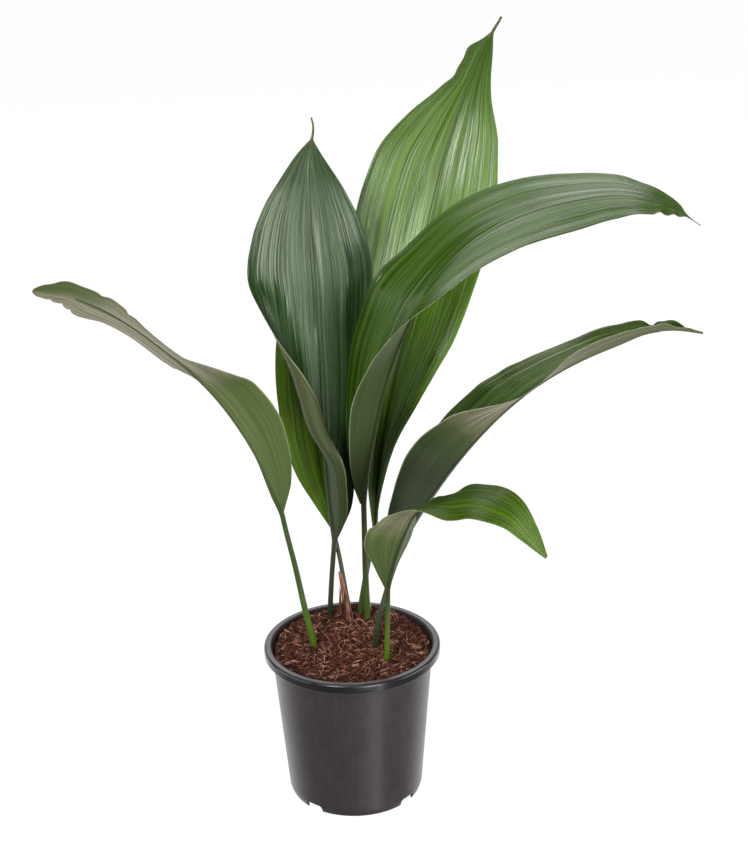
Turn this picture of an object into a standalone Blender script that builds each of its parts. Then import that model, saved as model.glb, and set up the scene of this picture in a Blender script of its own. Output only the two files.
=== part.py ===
"""Potted cast iron plant: seven leaves on their own stems, rising from a creeping
rootstock in a coir root ball, in a round plastic nursery pot.

Metres, +Z up. The origin is the middle of the pot's underside, on the surface
that the pot stands on. The front of the plant faces -Y.

A leaf is a strip of surface carried along its midrib. Every leaf is described by
the points that its midrib runs through and by short lists of keys, (place along
the midrib from 0 to 1, value), for its width, the turn of the blade about the
midrib, how far each half folds up from it, and how far each half curls at its edge.
"""
import math
import random
from typing import NamedTuple

import bmesh
import bpy
import numpy as np
from mathutils import Matrix, Vector

MM = 0.001
GAP = 0.3                     # clearance between neighbouring pieces, millimetres

# Pot, all in millimetres
POT_HEIGHT = 157.0
RIM_RADIUS = 85.0
RIM_SKIRT_HEIGHT = 8.6
RIM_THICKNESS = 1.3
FOOT_RADIUS = 63.4
BODY_RADIUS_LOW = 65.2        # where the wall leaves the rounded foot
BODY_RADIUS_HIGH = 77.3       # just under the rim
FOOT_BEND_HEIGHT = 6.0
WALL = 1.3
FLOOR_UNDERSIDE = 8.0         # the floor stands clear of the ground for drainage
FLOOR_THICKNESS = 1.6
PAD_RADIUS = 21.0             # the floor's sunken middle, which stands on the ground
PAD_SLOPE = 4.0
NOTCH_ANGLES = (50, 140, 230, 320)   # degrees from the front, towards +X
NOTCH_WIDTH = 18.0
NOTCH_HEIGHT = 7.2
NOTCH_CORNER = 3.0
DRAIN_COUNT = 8
DRAIN_RADIUS = 4.0
DRAIN_RING = 45.0
POT_SEGMENTS = 64

# Root ball
SOIL_LEVEL = 148.0
SOIL_SEGMENTS = 36
SOIL_RINGS = (66, 54, 42, 30, 18, 8)
SOIL_BUMP = 1.1

# Rootstock
ROOTSTOCK_RADIUS = 8.0
ROOTSTOCK_KNOTS = 11
ROOTSTOCK_SWELL = 0.12
ROOTSTOCK_PATH = ((-38, 5, 117), (-33, 28, 117), (-20, 50, 117), (-2, 56, 117),
                  (14, 53, 117), (23, 32, 117), (23, 4, 117), (33, -25, 117))

# Leaves
BLADE_THICKNESS = 0.8
BLADE_ROWS = 28
BLADE_HALF_COLUMNS = 3
STEM_SIDES = 8
STEM_POCKET_DROP = 4.0        # a stem's pocket in the soil opens into the rootstock's
STEM_RINGS = 9
VIEW_TILT = 25.0              # a blade with no turn faces the front, tilted up by this


class Leaf(NamedTuple):
    """One leaf: lengths in millimetres, angles in degrees."""
    name: str
    stem: tuple               # points that the stem runs through, foot first
    stem_radii: tuple         # at the foot and at the blade
    midrib: tuple             # points that the blade's midrib runs through
    width: tuple
    turn: tuple
    fold_left: tuple = ((0, 10), (1, 10))
    fold_right: tuple = ((0, 10), (1, 10))
    curl_left: tuple = ((0, 0), (1, 0))
    curl_right: tuple = ((0, 0), (1, 0))
    lopsided: tuple = ((0, 0), (1, 0))     # how much wider the left half is
    hair: tuple = ()          # points of the dried hair that the tip runs out into


LEAVES = (
    Leaf("leaf_left",
         stem=((-37, 8, 125.4), (-37, 6, 149), (-44, 0, 193), (-52, -6, 245),
               (-59, -12, 285), (-61.7, -15.9, 303.5)),
         stem_radii=(3.6, 2.4),
         midrib=((-62, -16, 304), (-70, -21, 330), (-82, -29, 370), (-95, -36, 399),
                 (-112, -46, 431), (-135, -61, 466), (-159, -72, 494),
                 (-184, -83, 520), (-200, -90, 534), (-217, -97, 546),
                 (-234, -103, 556), (-250, -109, 561), (-261, -112, 565)),
         width=((0, 5), (.08, 40), (.2, 63), (.29, 76), (.4, 79), (.55, 80), (.7, 74),
                (.8, 68), (.86, 60), (.914, 48), (.967, 32), (.985, 22), (1, 5)),
         turn=((0, -142), (.2, -130), (.3, -124), (.4, -116), (.52, -104), (.63, -99),
               (.73, -103), (.8, -110), (.914, -121), (1, -125)),
         fold_left=((0, 50), (.2, 42), (.4, 36), (.48, 20), (.56, 6), (.63, -3),
                    (.8, -7), (1, -2)),
         fold_right=((0, 50), (.2, 42), (.4, 28), (.5, 4), (.63, -4), (.8, 0), (.9, 8),
                     (1, 6))),
    Leaf("leaf_centre",
         stem=((-21, 55, 125.4), (-21, 54, 149), (-18, 50, 199), (-14, 45, 243.6)),
         stem_radii=(2.9, 2.6),
         midrib=((-14, 45, 244), (-16, 43, 278), (-18, 41, 311), (-19, 38, 345),
                 (-20, 35, 385), (-20, 33, 427), (-21, 31, 470), (-21, 29, 513),
                 (-23, 29, 548), (-24, 33, 597), (-22, 42, 646)),
         width=((0, 5), (.1, 48), (.2, 64), (.35, 96), (.47, 106), (.6, 114), (.7, 118),
                (.8, 101), (.87, 75), (.93, 44), (.97, 21), (1, 2.4)),
         turn=((0, -65), (.2, -60), (.36, -28), (.55, -15), (1, -5)),
         fold_left=((0, 45), (.2, 38), (.36, 0), (.6, -5), (1, 10)),
         fold_right=((0, 62), (.1, 60), (.2, 40), (.35, 20), (.55, 3), (.8, 0), (1, 10)),
         curl_left=((0, 60), (.2, 70), (.36, 228), (.47, 176), (.55, 124), (.63, 70),
                    (.72, 24), (.8, 14), (1, 0)),
         curl_right=((0, 20), (.4, 20), (.7, 0), (1, 0)),
         lopsided=((0, .12), (1, .12)),
         hair=((-21, 43, 651), (-20.5, 45, 658), (-22, 47, 665))),
    Leaf("leaf_behind",
         stem=((1, 50, 125.4), (0, 50, 149), (-5, 52, 188), (-10, 56, 223),
               (-15, 60, 249.6)),
         stem_radii=(2.6, 2.1),
         midrib=((-15, 60, 250), (-20, 64, 279), (-25, 70, 309), (-28, 77, 340),
                 (-29, 85, 378), (-30, 96, 424), (-29, 110, 480), (-27, 122, 525)),
         width=((0, 4), (.1, 26), (.25, 56), (.4, 70), (.55, 74), (.72, 64), (.87, 38),
                (1, 2)),
         turn=((0, 0), (1, 0)),
         fold_left=((0, 14), (1, 14)),
         fold_right=((0, 14), (1, 14))),
    Leaf("leaf_tall",
         stem=((6, 61, 125.4), (8, 61, 149), (14, 64, 186), (19, 67, 212),
               (26, 70, 237.1)),
         stem_radii=(3.4, 2.6),
         midrib=((26, 70, 238), (29, 74, 288), (34, 78, 328), (44, 81, 382),
                 (60, 87, 449), (82, 95, 535), (106, 109, 623), (135, 130, 694),
                 (147, 140, 715)),
         width=((0, 5), (.1, 21), (.18, 34), (.29, 70), (.36, 93), (.43, 112),
                (.52, 123), (.63, 130), (.72, 122), (.81, 90), (.88, 49), (.92, 33),
                (.96, 20), (1, 3)),
         turn=((0, 25), (.3, 10), (.5, 0), (1, 0)),
         fold_left=((0, 70), (.25, 50), (.5, 15), (1, 10)),
         fold_right=((0, 70), (.25, 30), (.5, 12), (1, 10)),
         curl_right=((0, -40), (.2, -60), (.4, 0), (1, 0)),
         lopsided=((0, .1), (.74, .1), (.82, .02), (.88, -.04), (1, 0)),
         hair=((149.5, 142, 719), (153, 143.5, 724), (156, 145, 729))),
    Leaf("leaf_arching",
         stem=((16, 50, 125.4), (16, 50, 149), (15, 48, 200), (15, 42, 258),
               (15, 38, 284.55)),
         stem_radii=(3.8, 3.0),
         midrib=((15, 38, 285), (17, 26, 321), (23, 10, 359), (34, -7, 415),
                 (50, -17, 468), (85, -28, 537), (112, -32, 567), (147, -39, 591),
                 (200, -47, 610), (255, -54, 615), (290, -58, 604), (313, -60, 588)),
         width=((0, 6), (.1, 40), (.2, 66), (.35, 94), (.5, 107), (.7, 100), (.85, 70),
                (.94, 32), (.958, 20), (.972, 5), (1, 2)),
         turn=((0, 95), (.2, 92), (.35, 75), (.5, 55), (.7, 45), (1, 50)),
         fold_left=((0, 75), (.15, 60), (.3, 50), (.42, 38), (.5, 12), (.6, 3),
                    (.7, -2), (.8, -7), (1, -5)),
         fold_right=((0, 70), (.15, 52), (.27, 46), (.36, 36), (.45, 31), (.52, 20),
                     (.6, 13), (.68, 8), (.8, 0), (1, 0)),
         lopsided=((0, .2), (.2, .14), (.35, .05), (.5, 0), (1, 0))),
    Leaf("leaf_right",
         stem=((22, 0, 125.4), (22, 0, 149), (26, 0, 180), (34, 2, 210), (42, 5, 236),
               (46.8, 6.9, 248.65)),
         stem_radii=(3.2, 2.4),
         midrib=((47, 7, 249), (52, 9, 260), (59, 12, 272), (69, 15, 287), (80, 18, 302),
                 (97, 21, 325), (119, 25, 351), (144, 29, 376), (193, 35, 412),
                 (224, 37, 428), (256, 38, 441), (286, 39, 452), (310, 40, 453),
                 (336, 40, 449)),
         width=((0, 5), (.035, 33), (.07, 52), (.118, 66), (.165, 79), (.235, 90),
                (.35, 89), (.445, 86), (.54, 80), (.72, 58), (.86, 32), (.93, 20),
                (1, 3)),
         turn=((0, 95), (.35, 95), (.54, 50), (.7, 55), (1, 60)),
         fold_left=((0, 45), (.25, 55), (.345, 60), (.435, 40), (.5, 14), (.56, 4),
                    (.69, 10), (.79, 24), (.87, 24), (1, 10)),
         fold_right=((0, 66), (.25, 66), (.345, 46), (.435, 36), (.52, 40), (.6, 42),
                     (.69, 55), (.79, 70), (.87, 68), (1, 60))),
    Leaf("leaf_small",
         stem=((33, -24, 125.4), (33, -25, 149), (34, -31, 191), (35, -38, 231.6)),
         stem_radii=(3.0, 2.4),
         midrib=((35, -38, 232), (40, -46, 261), (45, -52, 280), (52, -58, 302),
                 (58, -62, 317), (70, -68, 331), (92, -76, 340), (114, -83, 345),
                 (147, -92, 334), (163, -95, 314), (178, -97, 290)),
         width=((0, 5), (.1, 32), (.22, 67), (.3, 71), (.42, 66), (.55, 64), (.68, 66),
                (.8, 46), (.92, 22), (1, 4)),
         turn=((0, 155), (.25, 140), (.42, 95), (.6, 62), (1, 45)),
         fold_left=((0, 40), (.28, 38), (.37, 12), (.43, 2), (.48, -3), (.54, -9),
                    (.64, -6), (.8, 2), (1, 2)),
         fold_right=((0, 20), (.3, 21), (.42, 14), (.5, 0), (.56, -8), (.64, -6),
                     (1, -2))),
)

# Dry sheath: a papery scale left round the foot of one stem
SHEATH_STEM = "leaf_behind"
SHEATH_LOW = 143.0
SHEATH_HIGH = 206.0
SHEATH_CLEARANCE = 2.2        # from the stem's axis line to the scale's inside, past its radius
SHEATH_THICKNESS = 0.6
SHEATH_ARC = 170.0            # degrees of the stem that it wraps at its foot
SHEATH_FACING = 235.0         # degrees from +X: towards the front left
SHEATH_ROWS = 10
SHEATH_COLUMNS = 8

# Bark chips: centre x and y, half length, half width, half height, heading in degrees
CHIP_SINK = 0.4               # part of a chip's half height that is below the soil
CHIPS = (
    (62, 0, 7.5, 5.0, 2.4, 30),
    (67, -13, 5.0, 3.5, 2.0, -20),
    (3, -31, 7.0, 5.5, 2.6, 75),
    (-62, -24, 5.0, 4.0, 2.0, 10),
    (44, 48, 6.0, 4.0, 2.2, -50),
)

BLACK_PLASTIC = ("black_plastic", (0.035, 0.033, 0.035), 0.42)
COIR = ("coir", (0.105, 0.045, 0.025), 0.95)
ROOTSTOCK_SKIN = ("rootstock_skin", (0.30, 0.22, 0.12), 0.8)
STEM_GREEN = ("stem_green", (0.05, 0.10, 0.02), 0.45)
LEAF_GREEN = ("leaf_green", (0.06, 0.15, 0.03), 0.40)
DRY_SCALE = ("dry_scale", (0.34, 0.16, 0.09), 0.85)
BARK = ("bark", (0.32, 0.14, 0.07), 0.9)


# ---------------------------------------------------------------- curves and keys

def distances(points):
    """Place of each point along the line through them, from 0 to 1."""
    steps = np.linalg.norm(np.diff(points, axis=0), axis=1)
    places = np.concatenate([[0.0], np.cumsum(steps)])
    return places / places[-1]


def hermite(places, values, slopes, at):
    """Cubic pieces through values with the given slopes, read at the places in at."""
    piece = np.clip(np.searchsorted(places, at, side="right") - 1, 0, len(places) - 2)
    span = (places[piece + 1] - places[piece])[:, None]
    s = ((at - places[piece])[:, None]) / span
    return ((2 * s - 3) * s * s + 1) * values[piece] + (3 - 2 * s) * s * s * values[piece + 1] \
        + span * (((s - 2) * s + 1) * s * slopes[piece] + (s - 1) * s * s * slopes[piece + 1])


def smooth_path(points, at, hair=()):
    """A smooth curve through the points, which span the places 0 to 1, and the hair."""
    places = distances(points + hair)
    places /= places[len(points) - 1]
    points = np.array(points + hair, dtype=float)
    span = np.diff(places)[:, None]
    chords = np.diff(points, axis=0) / span
    inner = (chords[:-1] * span[1:] + chords[1:] * span[:-1]) / (span[:-1] + span[1:])
    slopes = np.concatenate([chords[:1], inner, chords[-1:]])
    return hermite(places, points, slopes, at)


def keyed(keys, at):
    """A smooth value through the keys that never swings past them, nor past its ends."""
    at = np.minimum(at, 1.0)
    places, values = np.array(keys, dtype=float).T
    rises = np.diff(values) / np.diff(places)
    slopes = np.concatenate([rises[:1], np.zeros(len(values) - 2), rises[-1:]])
    for i in range(1, len(values) - 1):
        before, after = rises[i - 1], rises[i]
        if before * after > 0:
            slopes[i] = 2 * before * after / (before + after)
    return hermite(places, values[:, None], slopes[:, None], at)[:, 0]


def unit(vectors):
    return vectors / np.linalg.norm(vectors, axis=1)[:, None]


# ---------------------------------------------------------------- blender helpers

def clear_scene():
    for item in list(bpy.data.objects):
        bpy.data.objects.remove(item, do_unlink=True)


def material(spec):
    name, colour, roughness = spec
    found = bpy.data.materials.get(name)
    if found:
        return found
    made = bpy.data.materials.new(name)
    made.use_nodes = True
    shader = made.node_tree.nodes["Principled BSDF"]
    shader.inputs["Base Color"].default_value = (*colour, 1.0)
    shader.inputs["Roughness"].default_value = roughness
    shader.inputs["Metallic"].default_value = 0.0
    return made


def add_object(name, shape, look, smooth_angle=40):
    """Turn a finished bmesh into a named object with one material."""
    mesh = bpy.data.meshes.new(name)
    shape.to_mesh(mesh)
    shape.free()
    mesh.materials.append(material(look))
    mesh.shade_smooth()
    mesh.set_sharp_from_angle(angle=math.radians(smooth_angle))
    item = bpy.data.objects.new(name, mesh)
    bpy.context.scene.collection.objects.link(item)
    return item


def add_cutter(name, shape):
    cutter = add_object(name, shape, COIR)
    cutter.hide_render = True
    cutter.display_type = "WIRE"
    return cutter


def cut(item, cutter):
    modifier = item.modifiers.new(cutter.name, "BOOLEAN")
    modifier.operation = "DIFFERENCE"
    modifier.solver = "EXACT"
    modifier.object = cutter


def turned(profile, segments):
    """Spin a closed outline of (radius, height) points, in millimetres, about Z."""
    shape = bmesh.new()
    verts = [shape.verts.new((r * MM, 0, z * MM)) for r, z in profile]
    edges = [shape.edges.new(pair) for pair in zip(verts, verts[1:])]
    if profile[0][0] > 0:
        edges.append(shape.edges.new((verts[-1], verts[0])))
    bmesh.ops.spin(shape, geom=verts + edges, cent=(0, 0, 0), axis=(0, 0, 1),
                   angle=math.tau, steps=segments, use_merge=True)
    bmesh.ops.remove_doubles(shape, verts=shape.verts, dist=1e-6)
    bmesh.ops.recalc_face_normals(shape, faces=shape.faces)
    return shape


def tube(points, radii, sides, across=(0, 1, 0)):
    """A round rod along points (millimetres), its rings lined up with across."""
    shape = bmesh.new()
    tangents = unit(np.gradient(points, axis=0))
    loops = []
    for i, (centre, tangent, radius) in enumerate(zip(points, tangents, radii)):
        z = Vector(tangent)
        x = Vector(across).cross(z).normalized()
        frame = Matrix((x, z.cross(x), z)).transposed().to_4x4()
        place = Matrix.Translation(Vector(centre) * MM) @ frame
        capped = i in (0, len(points) - 1)
        ring = bmesh.ops.create_circle(shape, cap_ends=capped, segments=sides,
                                       radius=radius * MM, matrix=place)["verts"]
        members = set(ring)
        loops.append([e for e in shape.edges if members.issuperset(e.verts)])
    for lower, upper in zip(loops, loops[1:]):
        bmesh.ops.bridge_loops(shape, edges=lower + upper)
    bmesh.ops.recalc_face_normals(shape, faces=shape.faces)
    return shape


# ---------------------------------------------------------------- pot

def inner_radius(height):
    """Radius of the pot's inner wall at a height, both in millimetres."""
    rise = (height - FOOT_BEND_HEIGHT) / (POT_HEIGHT - RIM_SKIRT_HEIGHT - FOOT_BEND_HEIGHT)
    return BODY_RADIUS_LOW + rise * (BODY_RADIUS_HIGH - BODY_RADIUS_LOW) - WALL


def pot_profile():
    """Outline of the wall, floor and rim, from the axis round to the axis again."""
    skirt_foot = POT_HEIGHT - RIM_SKIRT_HEIGHT
    rim_under = POT_HEIGHT - RIM_THICKNESS
    floor_top = FLOOR_UNDERSIDE + FLOOR_THICKNESS
    lip_inner = inner_radius(skirt_foot) + 2.2
    return [
        (0, 0),
        (PAD_RADIUS, 0),
        (PAD_RADIUS + PAD_SLOPE, FLOOR_UNDERSIDE),
        (FOOT_RADIUS - WALL, FLOOR_UNDERSIDE),
        (FOOT_RADIUS - WALL - 0.4, 0),
        (FOOT_RADIUS - 0.6, 0),
        (FOOT_RADIUS, 0.8),
        (BODY_RADIUS_LOW, FOOT_BEND_HEIGHT),
        (BODY_RADIUS_HIGH, skirt_foot),
        (BODY_RADIUS_HIGH + 0.4, rim_under),
        (RIM_RADIUS - RIM_THICKNESS, rim_under),
        (RIM_RADIUS - RIM_THICKNESS, skirt_foot),
        (RIM_RADIUS - 0.3, skirt_foot),
        (RIM_RADIUS, skirt_foot + 0.4),
        (RIM_RADIUS, POT_HEIGHT - 1.8),
        (RIM_RADIUS - 0.5, POT_HEIGHT - 0.6),
        (RIM_RADIUS - 1.7, POT_HEIGHT),
        (lip_inner + 0.6, POT_HEIGHT),
        (lip_inner, POT_HEIGHT - 0.5),
        (inner_radius(skirt_foot), skirt_foot),
        (inner_radius(floor_top + 2.0), floor_top + 2.0),
        (inner_radius(floor_top + 2.0) - 2.0, floor_top),
        (PAD_RADIUS + PAD_SLOPE - 0.8, floor_top),
        (PAD_RADIUS - 0.8, FLOOR_THICKNESS),
        (0, FLOOR_THICKNESS),
    ]


def notch_cutter():
    """One arch-topped block for each drainage notch in the foot, in one mesh."""
    shape = bmesh.new()
    half = NOTCH_WIDTH / 2
    corner = NOTCH_CORNER * (1 - math.sqrt(0.5))
    outline = [(-half, -2), (half, -2), (half, NOTCH_HEIGHT - NOTCH_CORNER),
               (half - corner, NOTCH_HEIGHT - corner), (half - NOTCH_CORNER, NOTCH_HEIGHT),
               (NOTCH_CORNER - half, NOTCH_HEIGHT), (corner - half, NOTCH_HEIGHT - corner),
               (-half, NOTCH_HEIGHT - NOTCH_CORNER)]
    for angle in NOTCH_ANGLES:
        verts = [shape.verts.new((x * MM, -(FOOT_RADIUS - 8) * MM, z * MM)) for x, z in outline]
        face = shape.faces.new(verts)
        pushed = bmesh.ops.extrude_face_region(shape, geom=[face])["geom"]
        moved = [v for v in pushed if isinstance(v, bmesh.types.BMVert)]
        bmesh.ops.translate(shape, verts=moved, vec=(0, -16 * MM, 0))
        bmesh.ops.rotate(shape, verts=verts + moved, cent=(0, 0, 0),
                         matrix=Matrix.Rotation(math.radians(angle), 3, "Z"))
    bmesh.ops.recalc_face_normals(shape, faces=shape.faces)
    return add_cutter("cut_notches", shape)


def drain_cutter():
    """One short rod for each drain hole in the raised ring of the floor."""
    shape = bmesh.new()
    for i in range(DRAIN_COUNT):
        angle = math.tau * (i + 0.5) / DRAIN_COUNT
        place = Matrix.Translation((DRAIN_RING * math.cos(angle) * MM,
                                    DRAIN_RING * math.sin(angle) * MM,
                                    (FLOOR_UNDERSIDE + FLOOR_THICKNESS / 2) * MM))
        bmesh.ops.create_cone(shape, cap_ends=True, segments=12, radius1=DRAIN_RADIUS * MM,
                              radius2=DRAIN_RADIUS * MM, depth=6 * MM, matrix=place)
    return add_cutter("cut_drains", shape)


def build_pot():
    pot = add_object("pot", turned(pot_profile(), POT_SEGMENTS), BLACK_PLASTIC)
    cut(pot, notch_cutter())
    cut(pot, drain_cutter())


# ---------------------------------------------------------------- root ball

def soil_height(x, y):
    """Height of the loose top at a place, all in millimetres."""
    waves = math.sin(x / 11 + 1) * math.cos(y / 13) + 0.6 * math.sin(x / 7 - y / 9 + 2)
    mound = 2.0 * math.exp(-((x - 2) ** 2 + (y - 25) ** 2) / 1800)
    return SOIL_LEVEL + SOIL_BUMP * waves + mound


def root_ball():
    floor_top = FLOOR_UNDERSIDE + FLOOR_THICKNESS
    low = floor_top + GAP
    corner = floor_top + 2.0 + 2 * GAP
    edge = SOIL_LEVEL - 2.0
    profile = [(0, low), (inner_radius(corner) - 2.0 - 3 * GAP, low),
               (inner_radius(corner) - 2 * GAP, corner), (inner_radius(edge) - GAP, edge)]
    profile += [(r, SOIL_LEVEL) for r in SOIL_RINGS] + [(0, SOIL_LEVEL)]
    shape = turned(profile, SOIL_SEGMENTS)
    for vert in shape.verts:
        if vert.co.z > (SOIL_LEVEL - 1) * MM:
            vert.co.z = soil_height(vert.co.x / MM, vert.co.y / MM) * MM
    return add_object("root_ball", shape, COIR)


def rootstock(extra=0.0):
    """The creeping rootstock that the stems stand on, made thicker by extra."""
    at = np.linspace(0, 1, 2 * ROOTSTOCK_KNOTS + 1)
    swell = 1 - ROOTSTOCK_SWELL * np.abs(np.sin(at * math.pi * ROOTSTOCK_KNOTS))
    path = smooth_path(ROOTSTOCK_PATH, at)
    if extra:
        tangents = unit(np.gradient(path, axis=0))
        path[0] -= tangents[0] * extra
        path[-1] += tangents[-1] * extra
    return tube(path, ROOTSTOCK_RADIUS * swell + extra, 8, across=(0, 0, 1))


# ---------------------------------------------------------------- stems and blades

def stem(leaf, extra=0.0, drop=0.0):
    """The leaf's own round stem, made thicker by extra, its foot lower by drop."""
    at = np.linspace(0, 1, STEM_RINGS + 1)
    path = smooth_path(leaf.stem, at)
    foot, top = leaf.stem_radii
    radii = top + (foot - top) * (1 - at) ** 1.5 + extra
    path[0] += drop * unit(path[:1] - path[1:2])[0]
    return tube(path, radii, STEM_SIDES)


def blade_surface(leaf, rows, half_columns):
    """Points of the blade's middle surface, millimetres: rows from the stem to the tip,
    columns from the left edge over the midrib to the right edge."""
    line = distances(leaf.midrib + leaf.hair)
    at = np.linspace(0, 1 / line[len(leaf.midrib) - 1], rows + 1)
    midrib = smooth_path(leaf.midrib, at, leaf.hair)
    tangent = unit(np.gradient(midrib, axis=0))
    tilt = math.radians(VIEW_TILT)
    front = np.array([0, -math.cos(tilt), math.sin(tilt)])
    level_face = unit(front - (tangent @ front)[:, None] * tangent)
    level_side = np.cross(tangent, level_face)
    turn = np.radians(keyed(leaf.turn, at))[:, None]
    side = np.cos(turn) * level_side + np.sin(turn) * level_face
    face = np.cos(turn) * level_face - np.sin(turn) * level_side
    half_width = keyed(leaf.width, at) / 2
    surface = np.empty((rows + 1, 2 * half_columns + 1, 3))
    surface[:, half_columns] = midrib
    halves = ((-1, leaf.fold_left, leaf.curl_left), (1, leaf.fold_right, leaf.curl_right))
    for sign, fold_keys, curl_keys in halves:
        fold = np.radians(keyed(fold_keys, at))
        curl = np.radians(keyed(curl_keys, at))
        step = half_width * (1 - sign * keyed(leaf.lopsided, at)) / half_columns
        point = midrib
        for column in range(1, half_columns + 1):
            angle = (fold + curl * ((column - 0.5) / half_columns) ** 2)[:, None]
            point = point + step[:, None] * (sign * np.cos(angle) * side + np.sin(angle) * face)
            surface[:, half_columns + sign * column] = point
    return surface


def blade(leaf):
    surface = blade_surface(leaf, BLADE_ROWS, BLADE_HALF_COLUMNS) * MM
    shape = bmesh.new()
    bmesh.ops.create_grid(shape, x_segments=2 * BLADE_HALF_COLUMNS, y_segments=BLADE_ROWS,
                          size=1.0)
    for vert in shape.verts:
        row = round((vert.co.y + 1) / 2 * BLADE_ROWS)
        column = round((vert.co.x + 1) * BLADE_HALF_COLUMNS)
        vert.co = surface[row, column]
    item = add_object(leaf.name + "_blade", shape, LEAF_GREEN)
    solid = item.modifiers.new("thickness", "SOLIDIFY")
    solid.thickness = BLADE_THICKNESS * MM
    solid.offset = 0.0


# ---------------------------------------------------------------- sheath and bark

def sheath(extra=0.0):
    """The dry scale: a tapering open half tube beside its stem, thicker by extra."""
    owner = next(leaf for leaf in LEAVES if leaf.name == SHEATH_STEM)
    path = smooth_path(owner.stem, np.linspace(0, 1, 200))
    heights = np.linspace(SHEATH_LOW - extra, SHEATH_HIGH, SHEATH_ROWS + 1)
    inside = owner.stem_radii[0] + SHEATH_CLEARANCE - extra
    shape = bmesh.new()
    rings = []
    for i, height in enumerate(heights):
        along = i / SHEATH_ROWS
        x, y = (np.interp(height, path[:, 2], path[:, k]) for k in (0, 1))
        half_arc = math.radians(SHEATH_ARC / 2 * (1 - 0.85 * along ** 1.4)) + extra / inside
        facing = math.radians(SHEATH_FACING - 25 * along)
        ring = []
        for radius, order in ((inside, 1), (inside + SHEATH_THICKNESS + 2 * extra, -1)):
            for j in range(SHEATH_COLUMNS + 1)[::order]:
                angle = facing + half_arc * (2 * j / SHEATH_COLUMNS - 1)
                ring.append(shape.verts.new((Vector((x + radius * math.cos(angle),
                                                     y + radius * math.sin(angle),
                                                     height)) * MM)))
        rings.append(ring)
    shape.faces.new(rings[0])
    shape.faces.new(rings[-1])
    for lower, upper in zip(rings, rings[1:]):
        count = len(lower)
        for j in range(count):
            k = (j + 1) % count
            shape.faces.new((lower[j], lower[k], upper[k], upper[j]))
    bmesh.ops.recalc_face_normals(shape, faces=shape.faces)
    return shape


def chip(index, extra=0.0):
    """A rough flake of bark, half sunk in the top of the soil."""
    x, y, length, width, height, heading = CHIPS[index]
    rough = random.Random(40 + index)
    shape = bmesh.new()
    bmesh.ops.create_icosphere(shape, subdivisions=1, radius=1.0)
    for vert in shape.verts:
        vert.co *= rough.uniform(0.78, 1.0)
    size = Vector((length + 1.5 * extra, width + 1.5 * extra, height + 1.5 * extra))
    bmesh.ops.scale(shape, vec=size * MM, verts=shape.verts)
    bmesh.ops.rotate(shape, verts=shape.verts, cent=(0, 0, 0),
                     matrix=Matrix.Rotation(math.radians(heading), 3, "Z"))
    level = soil_height(x, y) + height * (1 - 2 * CHIP_SINK) / 2
    bmesh.ops.translate(shape, verts=shape.verts, vec=Vector((x, y, level)) * MM)
    return shape


# ---------------------------------------------------------------- assembly

def build_plant():
    soil = root_ball()
    add_object("rootstock", rootstock(), ROOTSTOCK_SKIN)
    cut(soil, add_cutter("cut_rootstock", rootstock(GAP)))
    for leaf in LEAVES:
        add_object(leaf.name + "_stem", stem(leaf), STEM_GREEN)
        cut(soil, add_cutter("cut_" + leaf.name, stem(leaf, GAP, STEM_POCKET_DROP)))
        blade(leaf)
    add_object("dry_sheath", sheath(), DRY_SCALE)
    cut(soil, add_cutter("cut_sheath", sheath(GAP)))
    for index in range(len(CHIPS)):
        add_object(f"bark_chip_{index + 1}", chip(index), BARK)
        cut(soil, add_cutter(f"cut_chip_{index + 1}", chip(index, GAP)))


clear_scene()
build_pot()
build_plant()
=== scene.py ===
"""Potted cast iron plant, built piece by piece round its solid frame.

Seven leaves stand on their own stems in coir, in a round plastic nursery pot. The
leaf table and the dry scale are in millimetres and degrees, and every other length is
in metres. The origin is the middle of the pot's underside, +Z is up, and the plant
faces -Y.
"""

import random
from functools import cache, partial
from math import ceil, cos, exp, hypot, pi, radians, sin, sqrt, tau
from typing import NamedTuple

import bmesh
import bpy
import numpy as np
from bpy.props import FloatProperty, FloatVectorProperty, IntProperty, PointerProperty
from mathutils import Matrix, Vector, noise


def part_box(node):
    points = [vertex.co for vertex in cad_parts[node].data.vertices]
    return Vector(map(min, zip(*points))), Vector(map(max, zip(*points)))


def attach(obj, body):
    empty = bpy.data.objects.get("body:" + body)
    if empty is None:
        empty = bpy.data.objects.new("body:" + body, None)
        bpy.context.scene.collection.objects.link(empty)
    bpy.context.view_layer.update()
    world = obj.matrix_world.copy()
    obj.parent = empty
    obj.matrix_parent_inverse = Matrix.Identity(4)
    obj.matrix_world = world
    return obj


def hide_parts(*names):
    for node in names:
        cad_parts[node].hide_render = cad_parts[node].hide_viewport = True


bl_info = {
    "name": "Potted cast iron plant",
    "version": (1, 0, 0),
    "blender": (4, 5, 0),
    "location": "3D view > Sidebar > Plant",
    "description": "Builds a potted cast iron plant piece by piece",
    "category": "Add Mesh",
}

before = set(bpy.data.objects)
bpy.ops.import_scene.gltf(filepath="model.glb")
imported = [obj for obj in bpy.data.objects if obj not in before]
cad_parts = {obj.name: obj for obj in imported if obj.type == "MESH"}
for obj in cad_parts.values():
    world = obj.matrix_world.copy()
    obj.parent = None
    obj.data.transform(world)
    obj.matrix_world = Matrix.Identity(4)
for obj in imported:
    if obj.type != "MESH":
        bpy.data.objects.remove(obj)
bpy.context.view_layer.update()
POT_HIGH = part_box("pot")[1]
SOIL_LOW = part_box("root_ball")[0]

MM = 0.001
VIEW_TILT = radians(25)       # a blade with no turn faces the front, tilted up by this
BARK_CHIPS = 5
CRUMB_SEED, FIBRE_SEED, SCALE_SEED, PLEAT_SEED = 11, 5, 3, 20


# ---- leaf table

# Keys of (place along the midrib from 0 to 1, value), or one value for the whole length.
Keys = tuple | float


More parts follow.
